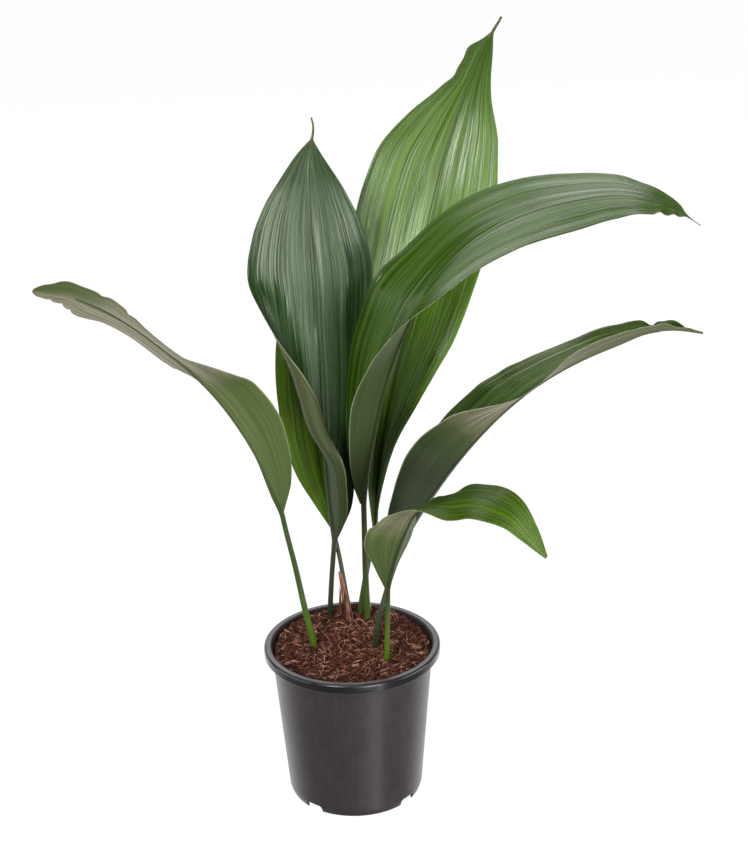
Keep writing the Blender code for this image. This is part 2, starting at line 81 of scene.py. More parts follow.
class Leaf(NamedTuple):
    """One leaf."""
    name: str
    stem: tuple               # points that the stem runs through, foot first
    stem_radii: tuple         # at the foot and at the blade
    midrib: tuple             # points that the blade's midrib runs through
    width: Keys
    turn: Keys                # turn of the blade about its midrib
    fold_left: Keys = 10      # how far each half is folded up from flat
    fold_right: Keys = 10
    curl_left: Keys = 0       # how much further the fold has gone at the edge
    curl_right: Keys = 0
    lopsided: Keys = 0        # how much wider the left half is
    hair: tuple = ()          # points of the dried hair that the tip runs out into
    young: Keys = .4          # how fresh and yellow the green is
    young_foot: float = .3    # the same at the foot of the stem
    ridge: float = .1         # the same along the midrib under the blade
    bloom: Keys = .2          # how pale the waxy underside is
    bloom_and_sheen_right: Keys = ()    # the same on the right half, where it differs: bloom and painted reflection
    matt: float = 0.0         # how dull the upper side is
    frill: float = 0.0        # height of the tighter ripples near the tip
    nicks: tuple = ()         # (-1 left or 1 right, place, share of the half's width that
                              # is cut away, or added where it is negative, reach)


LEAVES = (
    Leaf("left",
         stem=((-37, 8, 125.4), (-37, 6, 149), (-44, 0, 193), (-52, -6, 245),
               (-59, -12, 285), (-61.7, -15.9, 303.5)),
         stem_radii=(3.6, 2.4),
         midrib=((-62, -16, 304), (-70, -21, 330), (-82, -29, 370), (-95, -36, 399),
                 (-112, -46, 431), (-135, -61, 466), (-159, -72, 494),
                 (-184, -83, 520), (-200, -90, 534), (-217, -97, 546),
                 (-234, -103, 556), (-250, -109, 561), (-261, -112, 565)),
         width=((0, 5), (.08, 40), (.2, 63), (.29, 76), (.4, 79), (.55, 80), (.7, 74),
                (.8, 68), (.86, 60), (.914, 48), (.967, 32), (.985, 22), (1, 5)),
         turn=((0, -142), (.2, -130), (.3, -124), (.4, -116), (.52, -104), (.63, -99),
               (.73, -103), (.8, -110), (.914, -121), (1, -125)),
         fold_left=((0, 50), (.2, 42), (.4, 36), (.48, 20), (.56, 6), (.63, -3),
                    (.8, -7), (1, -2)),
         fold_right=((0, 50), (.2, 42), (.4, 28), (.5, 4), (.63, -4), (.8, 0), (.9, 8),
                     (1, 6)),
         young=((0, .9), (1, .8)), young_foot=.9, ridge=.25, frill=.5,
         bloom=((0, .45), (.42, .5), (.58, .85), (.78, .85), (.88, .5), (1, .35)),
         # Painted reflection: the right half of this underside is paler than the left,
         # out to the tip.
         bloom_and_sheen_right=((0, .45), (.42, .6), (.6, 1), (1, 1)),
         nicks=((-1, .79, .15, .009), (-1, .86, .12, .008), (1, .95, .45, .05),
                (1, .87, .12, .005), (1, .905, .14, .005), (1, .95, .2, .005))),
    Leaf("centre",
         stem=((-21, 55, 125.4), (-21, 54, 149), (-18, 50, 199), (-14, 45, 243.6)),
         stem_radii=(2.9, 2.6),
         midrib=((-14, 45, 244), (-16, 43, 278), (-18, 41, 311), (-19, 38, 345),
                 (-20, 35, 385), (-20, 33, 427), (-21, 31, 470), (-21, 29, 513),
                 (-23, 29, 548), (-24, 33, 597), (-22, 42, 646)),
         width=((0, 5), (.1, 48), (.2, 64), (.35, 96), (.47, 106), (.6, 114), (.7, 118),
                (.8, 101), (.87, 75), (.93, 44), (.97, 21), (1, 2.4)),
         turn=((0, -65), (.2, -60), (.36, -28), (.55, -15), (1, -5)),
         fold_left=((0, 45), (.2, 38), (.36, 0), (.6, -5), (1, 10)),
         fold_right=((0, 62), (.1, 60), (.2, 40), (.35, 20), (.55, 3), (.8, 0), (1, 10)),
         curl_left=((0, 60), (.2, 70), (.36, 228), (.47, 176), (.55, 124), (.63, 70),
                    (.72, 24), (.8, 14), (1, 0)),
         curl_right=((0, 20), (.4, 20), (.7, 0), (1, 0)),
         lopsided=.12,
         hair=((-21, 43, 651), (-20.5, 45, 658), (-22, 47, 665)),
         young=((0, 0), (1, .1)), young_foot=.05,
         bloom=((0, .25), (.2, .35), (.4, .5), (1, .5))),
    Leaf("behind",
         stem=((1, 50, 125.4), (0, 50, 149), (-5, 52, 188), (-10, 56, 223),
               (-15, 60, 249.6)),
         stem_radii=(2.6, 2.1),
         midrib=((-15, 60, 250), (-20, 64, 279), (-25, 70, 309), (-28, 77, 340),
                 (-29, 85, 378), (-30, 96, 424), (-29, 110, 480), (-27, 122, 525)),
         width=((0, 4), (.1, 26), (.25, 56), (.4, 70), (.55, 74), (.72, 64), (.87, 38),
                (1, 2)),
         turn=0, fold_left=14, fold_right=14, young=.8, young_foot=0.0, matt=1.0),
    Leaf("tall",
         stem=((6, 61, 125.4), (8, 61, 149), (14, 64, 186), (19, 67, 212),
               (26, 70, 237.1)),
         stem_radii=(3.4, 2.6),
         midrib=((26, 70, 238), (29, 74, 288), (34, 78, 328), (44, 81, 382),
                 (60, 87, 449), (82, 95, 535), (106, 109, 623), (135, 130, 694),
                 (147, 140, 715)),
         width=((0, 5), (.1, 21), (.18, 34), (.29, 70), (.36, 93), (.43, 112),
                (.52, 123), (.63, 130), (.72, 122), (.81, 90), (.88, 49), (.92, 33),
                (.96, 20), (1, 3)),
         turn=((0, 25), (.3, 10), (.5, 0), (1, 0)),
         fold_left=((0, 70), (.25, 50), (.5, 15), (1, 10)),
         fold_right=((0, 70), (.25, 30), (.5, 12), (1, 10)),
         curl_right=((0, -40), (.2, -60), (.4, 0), (1, 0)),
         lopsided=((0, .1), (.74, .1), (.82, .02), (.88, -.04), (1, 0)),
         hair=((149.5, 142, 719), (153, 143.5, 724), (156, 145, 729)),
         young=((0, .65), (.35, .65), (.5, 1), (.8, .9), (1, .6)), young_foot=.5,
         nicks=((-1, .96, -.4, .018), (-1, .9, .14, .014))),
    Leaf("arching",
         stem=((16, 50, 125.4), (16, 50, 149), (15, 48, 200), (15, 42, 258),
               (15, 38, 284.55)),
         stem_radii=(3.8, 3.0),
         midrib=((15, 38, 285), (17, 26, 321), (23, 10, 359), (34, -7, 415),
                 (50, -17, 468), (85, -28, 537), (112, -32, 567), (147, -39, 591),
                 (200, -47, 610), (255, -54, 615), (290, -58, 604), (313, -60, 588)),
         width=((0, 6), (.1, 40), (.2, 66), (.35, 94), (.5, 107), (.7, 100), (.85, 70),
                (.94, 32), (.958, 20), (.972, 5), (1, 2)),
         turn=((0, 95), (.2, 92), (.35, 75), (.5, 55), (.7, 45), (1, 50)),
         fold_left=((0, 75), (.15, 60), (.3, 50), (.42, 38), (.5, 12), (.6, 3),
                    (.7, -2), (.8, -7), (1, -5)),
         fold_right=((0, 70), (.15, 52), (.27, 46), (.36, 36), (.45, 31), (.52, 20),
                     (.6, 13), (.68, 8), (.8, 0), (1, 0)),
         lopsided=((0, .2), (.2, .14), (.35, .05), (.5, 0), (1, 0)),
         young=((0, .35), (.5, .6), (1, .75)), young_foot=.6, bloom=.35, frill=.4,
         nicks=((1, .925, .25, .006), (1, .95, .3, .006))),
    Leaf("right",
         stem=((22, 0, 125.4), (22, 0, 149), (26, 0, 180), (34, 2, 210), (42, 5, 236),
               (46.8, 6.9, 248.65)),
         stem_radii=(3.2, 2.4),
         midrib=((47, 7, 249), (52, 9, 260), (59, 12, 272), (69, 15, 287), (80, 18, 302),
                 (97, 21, 325), (119, 25, 351), (144, 29, 376), (193, 35, 412),
                 (224, 37, 428), (256, 38, 441), (286, 39, 452), (310, 40, 453),
                 (336, 40, 449)),
         width=((0, 5), (.035, 33), (.07, 52), (.118, 66), (.165, 79), (.235, 90),
                (.35, 89), (.445, 86), (.54, 80), (.72, 58), (.86, 32), (.93, 20),
                (1, 3)),
         turn=((0, 95), (.35, 95), (.54, 50), (.7, 55), (1, 60)),
         fold_left=((0, 45), (.25, 55), (.345, 60), (.435, 40), (.5, 14), (.56, 4),
                    (.69, 10), (.79, 24), (.87, 24), (1, 10)),
         fold_right=((0, 66), (.25, 66), (.345, 46), (.435, 36), (.52, 40), (.6, 42),
                     (.69, 51), (.79, 58), (.87, 54), (1, 52)),
         young=((0, .2), (.5, .25), (1, .6)), young_foot=.1, matt=.05, frill=1.2,
         bloom=((0, 0), (.2, .06), (.33, .45), (.45, .9), (.6, .7), (1, .55)),
         nicks=((-1, .875, .5, .012), (-1, .925, -.15, .018), (-1, .97, .5, .012))),
    Leaf("small",
         stem=((33, -24, 125.4), (33, -25, 149), (34, -31, 191), (35, -38, 231.6)),
         stem_radii=(3.0, 2.4),
         midrib=((35, -38, 232), (40, -46, 261), (45, -52, 280), (52, -58, 302),
                 (58, -62, 317), (70, -68, 331), (92, -76, 340), (114, -83, 345),
                 (147, -92, 334), (163, -95, 314), (178, -97, 290)),
         width=((0, 5), (.1, 32), (.22, 67), (.3, 71), (.42, 66), (.55, 64), (.68, 66),
                (.8, 46), (.92, 22), (1, 4)),
         turn=((0, 155), (.25, 140), (.42, 95), (.6, 62), (1, 45)),
         fold_left=((0, 40), (.28, 38), (.37, 12), (.43, 2), (.48, -3), (.54, -9),
                    (.64, -6), (.8, 2), (1, 2)),
         fold_right=((0, 20), (.3, 21), (.42, 14), (.5, 0), (.56, -8), (.64, -6),
                     (1, -2)),
         young=((0, .55), (.5, .8), (1, 1)), young_foot=1.0, matt=.3,
         bloom=((0, .35), (.22, .45), (.36, .75), (1, .3))),
)


# ---- settings

def srgb(*display):
    """A display colour of three numbers from 0 to 255, as scene-linear light."""
    return tuple(((c / 255 + 0.055) / 1.055) ** 2.4 if c > 10 else c / 3294.6
                 for c in display)


def colour(name, description, *display):
    return FloatVectorProperty(name=name, description=description, subtype="COLOR",
                               size=3, min=0.0, max=1.0, default=srgb(*display))


def number(name, description, default, kind=FloatProperty, **form):
    return kind(name=name, description=description, default=default, min=0, **form)


length = partial(number, unit="LENGTH", precision=4)
power = partial(number, unit="POWER")
count = partial(number, kind=IntProperty)


class PotSettings(bpy.types.PropertyGroup):
    height: length("Height", "From the ground to the top of the rim", POT_HIGH.z)
    rim_radius: length("Rim radius", "Outside of the rim", POT_HIGH.x)
    foot_radius: length("Foot radius", "Outside of the foot ring", 0.0634)
    wall: length("Wall", "Thickness of the wall", 0.0013)
    plastic: colour("Plastic", "Charcoal plastic", 37, 32, 34)
    # The lip colour is painted shade: the upright face of the rim is made darker than the
    # rest of the pot.
    lip: colour("Lip", "Smooth upright face of the rim", 16, 15, 18)
    scuff: colour("Scuffs", "Fine rub marks in the plastic", 60, 54, 57)


class SoilSettings(bpy.types.PropertyGroup):
    level: length("Level", "Height of the loose top", 0.148)
    roughness: length("Lumps", "Height of the lumps in the top", 0.0024)
    fibres: count("Fibres", "Loose fibres on the top", 2700)
    fibre_radius: length("Fibre radius", "Half the thickness of a fibre", 0.00040)
    crumbs: count("Crumbs", "Loose crumbs on the top", 700)
    # Painted shade: the darkest coir tone, which fills the hollows between the lumps.
    coir_shade: colour("Damp coir", "Shaded coir between the lumps", 26, 12, 6)
    coir: colour("Coir", "Body of the coir", 70, 41, 29)
    straw: colour("Dry fibre", "Palest dry fibres", 196, 152, 128)
    bark: colour("Bark", "Dry bark", 172, 124, 100)


class LeafSettings(bpy.types.PropertyGroup):
    thickness: length("Thickness", "Of the blade", 0.0005)
    pleat: length("Pleats", "Depth of the flat-sided pleats along a blade", 0.00046)
    deep: colour("Deep green", "Upper side of an old blade", 24, 51, 22)
    fresh: colour("Fresh green", "Upper side of a young blade", 70, 104, 0)
    vein: colour("Veins", "Pale lines along a blade", 88, 110, 64)
    thread: colour("Threads", "Few palest lines along a blade", 124, 146, 96)
    under: colour("Underside", "Matt underside", 25, 35, 13)
    haze: colour("Haze", "Young underside with some waxy bloom", 69, 84, 44)
    grey: colour("Grey bloom", "Old underside with some waxy bloom", 55, 68, 38)
    bloom: colour("Bloom", "Waxy bloom of the underside", 135, 132, 112)
    margin: colour("Margin", "Thin pale edge", 146, 150, 116)
    dried: colour("Dried tip", "Dead hair at the tip", 84, 76, 44)
    stem: colour("Stem", "Old stem", 31, 35, 20)
    stem_young: colour("Young stem", "Foot of a young stem", 72, 104, 4)


class StageSettings(bpy.types.PropertyGroup):
    floor: colour("Floor", "Pale floor", 250, 250, 250)
    glow: number("Floor glow", "Light that the floor gives off by itself", 1.0)
    horizon: number("Horizon", "Strength of the even light from all round", 0.22)
    behind: number("Behind", "Strength of the light from low down behind", 1.4)
    zenith: number("Zenith", "Strength of the light from straight above", 0.08)
    high: number("High light", "Broad even light from high up", 0.7)
    front: power("Front light", "Big soft light at the front right", 38)
    left: power("Left light", "Soft light at the front left", 35)
    side: power("Side light", "Low soft light at the far left", 21)
    right: power("Right light", "Low soft light at the far right", 26)
    back: power("Back light", "Soft light above and behind", 31)
    strip: power("Strip light", "Narrow light from low down in front", 1.6)


class PlantSettings(bpy.types.PropertyGroup):
    pot: PointerProperty(type=PotSettings, name="Pot", description="Pot")
    soil: PointerProperty(type=SoilSettings, name="Soil", description="Soil")
    leaf: PointerProperty(type=LeafSettings, name="Leaves", description="Leaves")
    stage: PointerProperty(type=StageSettings, name="Stage", description="Stage")


# ---- curves and keys

def distances(points):
    """Place of each point along the line through them, from 0 to 1."""
    steps = np.linalg.norm(np.diff(points, axis=0), axis=1)
    places = np.concatenate([[0.0], np.cumsum(steps)])
    return places / places[-1]


def hermite(places, values, slopes, at):
    """Cubic pieces through values with the given slopes, read at the places in at."""
    i = np.clip(np.searchsorted(places, at, side="right") - 1, 0, len(places) - 2)
    span = (places[i + 1] - places[i])[:, None]
    s = (at - places[i])[:, None] / span
    return ((2 * s - 3) * s * s + 1) * values[i] + (3 - 2 * s) * s * s * values[i + 1] \
        + span * (((s - 2) * s + 1) * s * slopes[i] + (s - 1) * s * s * slopes[i + 1])


def smooth_path(points, at, hair=()):
    """A smooth curve through the points, which span the places 0 to 1, and the hair."""
    places = distances(points + hair)
    places /= places[len(points) - 1]
    points = np.array(points + hair, dtype=float)
    span = np.diff(places)[:, None]
    chords = np.diff(points, axis=0) / span
    inner = (chords[:-1] * span[1:] + chords[1:] * span[:-1]) / (span[:-1] + span[1:])
    slopes = np.concatenate([chords[:1], inner, chords[-1:]])
    return hermite(places, points, slopes, at)


def keyed(keys, at):
    """A smooth value through the keys that never swings past them, nor past its ends."""
    if not isinstance(keys, tuple):
        return np.full(len(at), float(keys))
    places, values = np.array(keys, dtype=float).T
    rises = np.diff(values) / np.diff(places)
    slopes = np.concatenate([rises[:1], np.zeros(len(values) - 2), rises[-1:]])
    for i, (before, after) in enumerate(zip(rises, rises[1:]), 1):
        if before * after > 0:
            slopes[i] = 2 * before * after / (before + after)
    return hermite(places, values[:, None], slopes[:, None], np.minimum(at, 1.0))[:, 0]


def unit(vectors):
    return vectors / np.linalg.norm(vectors, axis=-1)[..., None]


# ---- shading

def arithmetic(operation, swapped=False):
    """A method of Wire that adds this Math node."""
    def method(self, other):
        pair = (other, self) if swapped else (self, other)
        return self.shading.node("Math", dict(enumerate(pair)), operation=operation)
    return method


class Wire:
    """A socket's output. Arithmetic on it adds Math nodes to its material."""

    def __init__(self, shading, socket):
        self.shading = shading
        self.socket = socket

    __add__ = __radd__ = arithmetic("ADD")
    __sub__, __rsub__ = arithmetic("SUBTRACT"), arithmetic("SUBTRACT", swapped=True)
    __mul__ = __rmul__ = arithmetic("MULTIPLY")
    __pow__ = arithmetic("POWER")


class Shading:
    """The node tree of a material or of the sky, written as Python expressions."""

    def __init__(self, name, kind="materials"):
        self.block = getattr(bpy.data, kind).new(name)
        self.block.use_nodes = True
        self.tree = self.block.node_tree
        self.tree.nodes.clear()

    def node(self, kind, inputs=None, out=0, stops=(), **settings):
        """Add a node of this kind, set it up, feed its inputs, and return one output."""
        made = self.tree.nodes.new("ShaderNode" + kind)
        for name, value in settings.items():
            setattr(made, name, value)
        for _ in stops[2:]:
            made.color_ramp.elements.new(0.5)
        for i, (place, tone) in enumerate(stops):
            element = made.color_ramp.elements[i]
            element.position = place
            shade = (tone,) * 3 if isinstance(tone, float) else tone
            element.color = (*shade, 1.0)
        for name, value in (inputs or {}).items():
            end = made.inputs[name]
            if isinstance(value, Wire):
                self.tree.links.new(value.socket, end)
            else:
                end.default_value = (*value, 1.0) if end.type == "RGBA" else value
        return Wire(self, made.outputs[out])

    def mix(self, factor, first, second, blend="MIX"):
        """A colour that goes from the first to the second as the factor goes to 1."""
        return self.node("Mix", {0: factor, 6: first, 7: second}, 2, data_type="RGBA",
                         blend_type=blend)

    def ramp(self, factor, *stops):
        """A colour that goes through (place, colour or brightness) stops."""
        return self.node("ValToRGB", {"Fac": factor}, stops=stops)

    def shaded(self, tone, factor, *stops):
        """The tone darkened or lightened by a ramp."""
        return self.mix(1.0, tone, self.ramp(factor, *stops), "MULTIPLY")

    def between(self, value, low, high):
        """0 to 1 as the value goes from low to high."""
        return self.node("MapRange", {"Value": value, "From Min": low, "From Max": high})

    def off_half(self, value, low, high):
        """0 to 1 as the value's distance from 0.5 goes from low to high."""
        off = self.node("Math", {0: value - 0.5}, operation="ABSOLUTE")
        return self.between(off, low, high)

    def vector(self, x, y, z):
        return self.node("CombineXYZ", {"X": x, "Y": y, "Z": z})

    def parts(self, vector):
        return [self.node("SeparateXYZ", {"Vector": vector}, i) for i in range(3)]

    def place(self):
        """A point's place on the object."""
        return self.node("TexCoord", out=3)

    def attribute(self, name):
        return self.node("Attribute", out=2, attribute_name=name)

    def noise(self, scale, detail=2, roughness=0.5, at=None):
        """Noise over the object, or over another vector."""
        return self.node("TexNoise", {"Vector": at or self.place(), "Scale": scale,
                                      "Detail": detail, "Roughness": roughness})

    def chart(self):
        """Across the piece and along it, both from 0 to 1."""
        return self.parts(self.node("UVMap", uv_map="Chart"))[:2]

    def streaks(self, across, along, offset=0, detail=1, roughness=0.5):
        """Noise over the piece's chart, this many lumps across it and along it."""
        u, v = self.chart()
        seed = self.attribute("seed") + offset
        return self.noise(1, detail, roughness, self.vector(u * across, v * along, seed))

    def bump(self, height, distance, strength=1.0):
        return self.node("Bump", {"Height": height, "Distance": distance,
                                  "Strength": strength})

    def surface(self, **sockets):
        """The finished material. Socket names are written with underscores."""
        named = {name.replace("_", " "): value for name, value in sockets.items()}
        return self.finish(self.node("BsdfPrincipled", named))

    def finish(self, shader, output="OutputMaterial"):
        end = self.tree.nodes.new("ShaderNode" + output)
        self.tree.links.new(shader.socket, end.inputs["Surface"])
        return self.block


def plastic_look(settings):
    """Satin charcoal plastic with faint upright rub marks, and a glossier lip whose
    upright face is darkened as painted shade.
    """
    s = Shading("charcoal_plastic")
    x, y, z = s.parts(s.place())
    streak = s.noise(60, 3, at=s.vector(x * 9, y * 9, z * 0.7))
    mottle = s.noise(45, 4, 0.6)
    grain = s.noise(1400)
    base = s.mix(s.between(streak * 0.6 + mottle * 0.4, 0.45, 0.72) * 0.35,
                 settings.plastic, settings.scuff)
    reach = (x * x + y * y) ** 0.5
    foot, top = settings.height - 0.0092, settings.height - 0.0004     # of the lip
    lip = s.between(reach, settings.rim_radius - 0.0019, settings.rim_radius - 0.0012) \
        * s.between(z, foot, foot + 0.0004) * s.between(z, top, top - 0.0008)
    # Painted shade: the lip's upright face takes the darker lip colour. Its lower
    # roughness is its own gloss.
    return s.surface(Base_Color=s.mix(lip, base, settings.lip),
                     Roughness=0.27 + mottle * 0.12 + streak * 0.06 - lip * 0.12,
                     Normal=s.bump(grain * 0.5 + mottle, 0.00005, 0.6))


def coir_look(settings):
    """Crumbled reddish brown coir, with painted shade between its lumps."""
    s = Shading("coir")
    coarse = s.noise(190, 5, 0.65)
    fine = s.noise(900, 4, 0.7)
    # The tone follows the same noise as the relief. Its darkest stop is painted shade in
    # the hollows, and its palest stop lightens the tops of the lumps.
    base = s.ramp(coarse * 0.6 + fine * 0.4, (0.34, settings.coir_shade), (0.5, settings.coir),
                  (0.72, srgb(150, 108, 88)))
    return s.surface(Base_Color=base, Roughness=0.92, Specular_IOR_Level=0.1,
                     Normal=s.bump(fine + coarse, 0.0009))


def fibre_look(name, darker, lighter):
    """One tone of loose fibre."""
    s = Shading(name)
    patch = s.noise(240)
    grain = s.noise(1800)
    base = s.ramp(patch * 0.75 + grain * 0.25, (0.35, darker), (0.65, lighter))
    return s.surface(Base_Color=base, Roughness=0.8, Specular_IOR_Level=0.15,
                     Normal=s.bump(grain, 0.0001))


def bark_look(settings):
    """Dry flaking bark with a grain along X."""
    s = Shading("bark")
    x, y, z = s.parts(s.place())
    grain = s.noise(260, 4, 0.6, s.vector(x, y * 4, z * 6))
    patch = s.noise(300)
    base = s.ramp(grain * 0.6 + patch * 0.4, (0.32, srgb(92, 56, 44)),
                  (0.5, settings.bark), (0.72, srgb(212, 168, 138)))
    return s.surface(Base_Color=base, Roughness=0.85, Normal=s.bump(grain, 0.0006))


def sheath_look():
    """Dry papery scale with long fibres."""
    s = Shading("dry_scale")
    fibre = s.streaks(11, 1.5, 0, 2, 0.6)
    patch = s.streaks(3, 5, 2, 2)
    base = s.ramp(fibre * 0.7 + patch * 0.3, (0.38, srgb(62, 34, 24)),
                  (0.5, srgb(120, 74, 56)), (0.64, srgb(184, 136, 112)))
    return s.surface(Base_Color=base, Roughness=0.75, Normal=s.bump(fibre, 0.001))


def rootstock_look():
    """Pale brown skin with rings round it."""
    s = Shading("rootstock_skin")
    x, y, z = s.parts(s.place())
    rings = s.noise(320, 3, at=s.vector(x, y, z * 0.3))
    base = s.ramp(rings, (0.35, srgb(92, 66, 40)), (0.65, srgb(168, 140, 98)))
    return s.surface(Base_Color=base, Roughness=0.8, Normal=s.bump(rings, 0.0008))


def vein_field(s):
    """Streaks, broad bands, thin lines and creases that run along a blade."""
    return (s.streaks(74, 1.6, 0, 2, 0.62), s.streaks(14, 1.2, 7),
            s.streaks(190, 1.8, 3, 1, 0.6),
            s.off_half(s.streaks(30, 0.9, 11), 0.024, 0.006))


def blade_top_look(settings, name, tint):
    """Glossy upper side: deep to fresh green with fine lengthwise veins, and painted
    shade in its creases and beside its midrib.
    """
    s = Shading(name)
    streak, broad, line, crease = vein_field(s)
    base = s.mix(s.attribute("young"), settings.deep, settings.fresh)
    base = s.shaded(base, streak * 0.5 + line * 0.25 + broad * 0.25,
                    (0.37, 0.25), (0.62, 1.4))
    base = s.mix(s.between(line, 0.56, 0.75) * 0.4, base, settings.vein)
    # Painted shade: the creases, which the bump sinks, are darkened to less than half.
    base = s.shaded(base, crease, (0.0, 1.0), (1.0, 0.45))
    thread = s.off_half(s.streaks(17, 0.7, 17), 0.01, 0.003)
    base = s.mix(thread * 0.35, base, settings.thread)
    # Painted shade: darker in a band each side of the midrib, where the blade is sunk
    # into a groove, and lighter on the midrib itself.
    rib = s.off_half(s.chart()[0], 0.028, 0.006)
    base = s.shaded(base, rib, (0.0, 1.0), (0.45, 0.55), (0.85, 0.5), (1.0, 1.5))
    dull = s.between(broad, 0.42, 0.6) * 0.22 + s.between(streak, 0.38, 0.62) * 0.16 \
        + crease * 0.2
    height = streak * 0.5 + line * 0.3 - crease * 0.25
    return s.surface(Base_Color=s.mix(s.attribute("dry"), base, settings.dried),
                     Roughness=0.09 + dull + s.attribute("matt") * 0.4,
                     Specular_IOR_Level=0.4, Specular_Tint=tint,
                     Normal=s.bump(height, 0.0009, 0.6))


def blade_under_look(settings):
    """Matt underside with a pale waxy bloom, on one leaf also a painted reflection, and
    brownish raised veins.
    """
    s = Shading("blade_under")
    streak, broad, line, crease = vein_field(s)
    bloom = s.attribute("bloom") * (0.75 + broad * 0.5)
    young = s.between(s.attribute("young"), 0.35, 0.85)
    haze = s.mix(young, settings.grey, settings.haze)
    base = s.mix(s.between(bloom, 0.0, 0.5), settings.under, haze)
    base = s.mix(s.between(bloom, 0.5, 1.0), base, settings.bloom)
    base = s.shaded(base, streak * 0.6 + line * 0.4, (0.36, 0.62), (0.62, 1.24))
    waxy = s.between(bloom, 0.35, 0.8)
    marked = crease * waxy
    base = s.shaded(base, marked, (0.0, 1.0), (1.0, srgb(160, 138, 118)))
    brown = s.between(s.streaks(22, 1.1, 5), 0.5, 0.58) * waxy * 0.7
    base = s.mix(brown, base, srgb(80, 74, 48))
    rim = s.off_half(s.chart()[0], 0.485, 0.494)
    base = s.mix(rim * 0.5, base, settings.margin)
    return s.surface(Base_Color=s.mix(s.attribute("dry"), base, settings.dried),
                     Roughness=0.46 + streak * 0.12, Specular_IOR_Level=0.13,
                     Normal=s.bump(streak * 0.5 + line * 0.3 - marked * 0.2, 0.0009, 0.6))


def margin_look(settings):
    """Patchy edge, green to pale."""
    s = Shading("blade_margin")
    base = s.mix(s.streaks(1, 40, 0, 2), settings.under, settings.margin)
    return s.surface(Base_Color=s.mix(s.attribute("dry"), base, settings.dried),
                     Roughness=0.5)


def stem_look(settings):
    """Green stem with fine lengthwise ribs, fresher towards its foot."""
    s = Shading("stem_green")
    rib = s.streaks(16, 5, 0, 3, 0.6)
    patch = s.streaks(3, 30, 5, 3)
    green = s.mix(s.attribute("young"), settings.stem, settings.stem_young)
    base = s.shaded(green, rib * 0.6 + patch * 0.4, (0.3, 0.6), (0.65, 1.15))
    return s.surface(Base_Color=base, Roughness=0.38 + rib * 0.14,
                     Specular_IOR_Level=0.35, Normal=s.bump(rib, 0.0003, 0.5))


# ---- pieces

def linked(name, data):
    """A new object in the scene."""
    item = bpy.data.objects.new(name, data)
    bpy.context.scene.collection.objects.link(item)
    return item


def add_mesh(name, shape, materials, smooth_angle=60):
    """A new object at the origin from a finished bmesh."""
    mesh = bpy.data.meshes.new(name)
    shape.to_mesh(mesh)
    shape.free()
    for material in materials:
        mesh.materials.append(material)
    mesh.shade_smooth()
    mesh.set_sharp_from_angle(angle=radians(smooth_angle))
    return linked(name, mesh)


def settle(item, slot, *nodes):
    """The piece rides with the pot and stands for these nodes."""
    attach(item, "root")
    if nodes:
        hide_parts(*nodes)


def made_real(item):
    """A mesh of the item as it looks, with its modifiers or its bevel."""
    graph = bpy.context.evaluated_depsgraph_get()
    return bpy.data.meshes.new_from_object(item.evaluated_get(graph))


def thicken(item, thickness):
    """Make a sheet solid. Its back and rim take its next two materials, if any."""
    solid = item.modifiers.new("thickness", "SOLIDIFY")
    solid.thickness = thickness
    solid.offset = 0.0
    solid.material_offset, solid.material_offset_rim = 1, 2


def charted_grid(columns, rows):
    """A flat grid with a chart of its own, and each vertex's column and row."""
    shape = bmesh.new()
    shape.loops.layers.uv.new("Chart")
    bmesh.ops.create_grid(shape, x_segments=columns, y_segments=rows, size=1.0,
                          calc_uvs=True)
    flat = (np.array([vert.co.xy for vert in shape.verts]) + 1) / 2
    column, row = np.rint(flat * (columns, rows)).astype(int).T
    return shape, column, row


def set_places(shape, points):
    for vert, point in zip(shape.verts, points):
        vert.co = point


def set_values(shape, **values):
    """Store numbers on the vertices: one for them all, or one for each in their order."""
    for name, value in values.items():
        layer = shape.verts.layers.float.new(name)
        for vert, own in zip(shape.verts, np.broadcast_to(value, len(shape.verts))):
            vert[layer] = own


def turned(profile, segments):
    """Spin a closed outline of (radius, height) points about Z."""
    shape = bmesh.new()
    verts = [shape.verts.new((r, 0, z)) for r, z in profile]
    edges = [shape.edges.new(pair) for pair in zip(verts, verts[1:])]
    bmesh.ops.spin(shape, geom=verts + edges, cent=(0, 0, 0), axis=(0, 0, 1),
                   angle=tau, steps=segments, use_merge=True)
    bmesh.ops.remove_doubles(shape, verts=shape.verts, dist=1e-6)
    bmesh.ops.recalc_face_normals(shape, faces=shape.faces)
    return shape


def eased(corners, steps=4):
    """An outline of (radius, height, ease) corners, each rounded off over its ease."""
    outline = []
    for i, (r, z, ease) in enumerate(corners):
        if not ease:
            outline.append((r, z))
            continue
        here = Vector((r, z))
        back, ahead = (Vector(corners[k][:2]) - here for k in (i - 1, i + 1))
        start = here + back.normalized() * min(ease, back.length * 0.48)
        end = here + ahead.normalized() * min(ease, ahead.length * 0.48)
        for t in np.linspace(0, 1, steps + 1):
            outline.append((1 - t) ** 2 * start + 2 * t * (1 - t) * here + t * t * end)
    return outline


def tube(path, radii, face, sides=18, groove=0.25):
    """A rod along path with one side grooved towards face, closed at both ends."""
    tangent = unit(np.gradient(path, axis=0))
    up = unit(face - (tangent * face).sum(axis=1)[:, None] * tangent)
    side = np.cross(tangent, up)
    shape, column, row = charted_grid(sides, len(path) - 1)
    cosine, sine = (turn(tau * column / sides)[:, None] for turn in (np.cos, np.sin))
    radius = radii[row][:, None] * (1 - groove * np.maximum(0.0, cosine) ** 6)
    set_places(shape, path[row] + radius * (cosine * up[row] + sine * side[row]))
    bmesh.ops.remove_doubles(shape, verts=shape.verts, dist=1e-7)
    ends = [edge for edge in shape.edges if edge.is_boundary]
    bmesh.ops.holes_fill(shape, edges=ends, sides=0)
    bmesh.ops.recalc_face_normals(shape, faces=shape.faces)
    return shape


# ---- pot

WALL_LOW, WALL_HIGH = 0.0652, 0.0773     # radius of the wall near its foot and at its top
HOLLOW = 0.0242                          # radius of the sunken middle of the floor


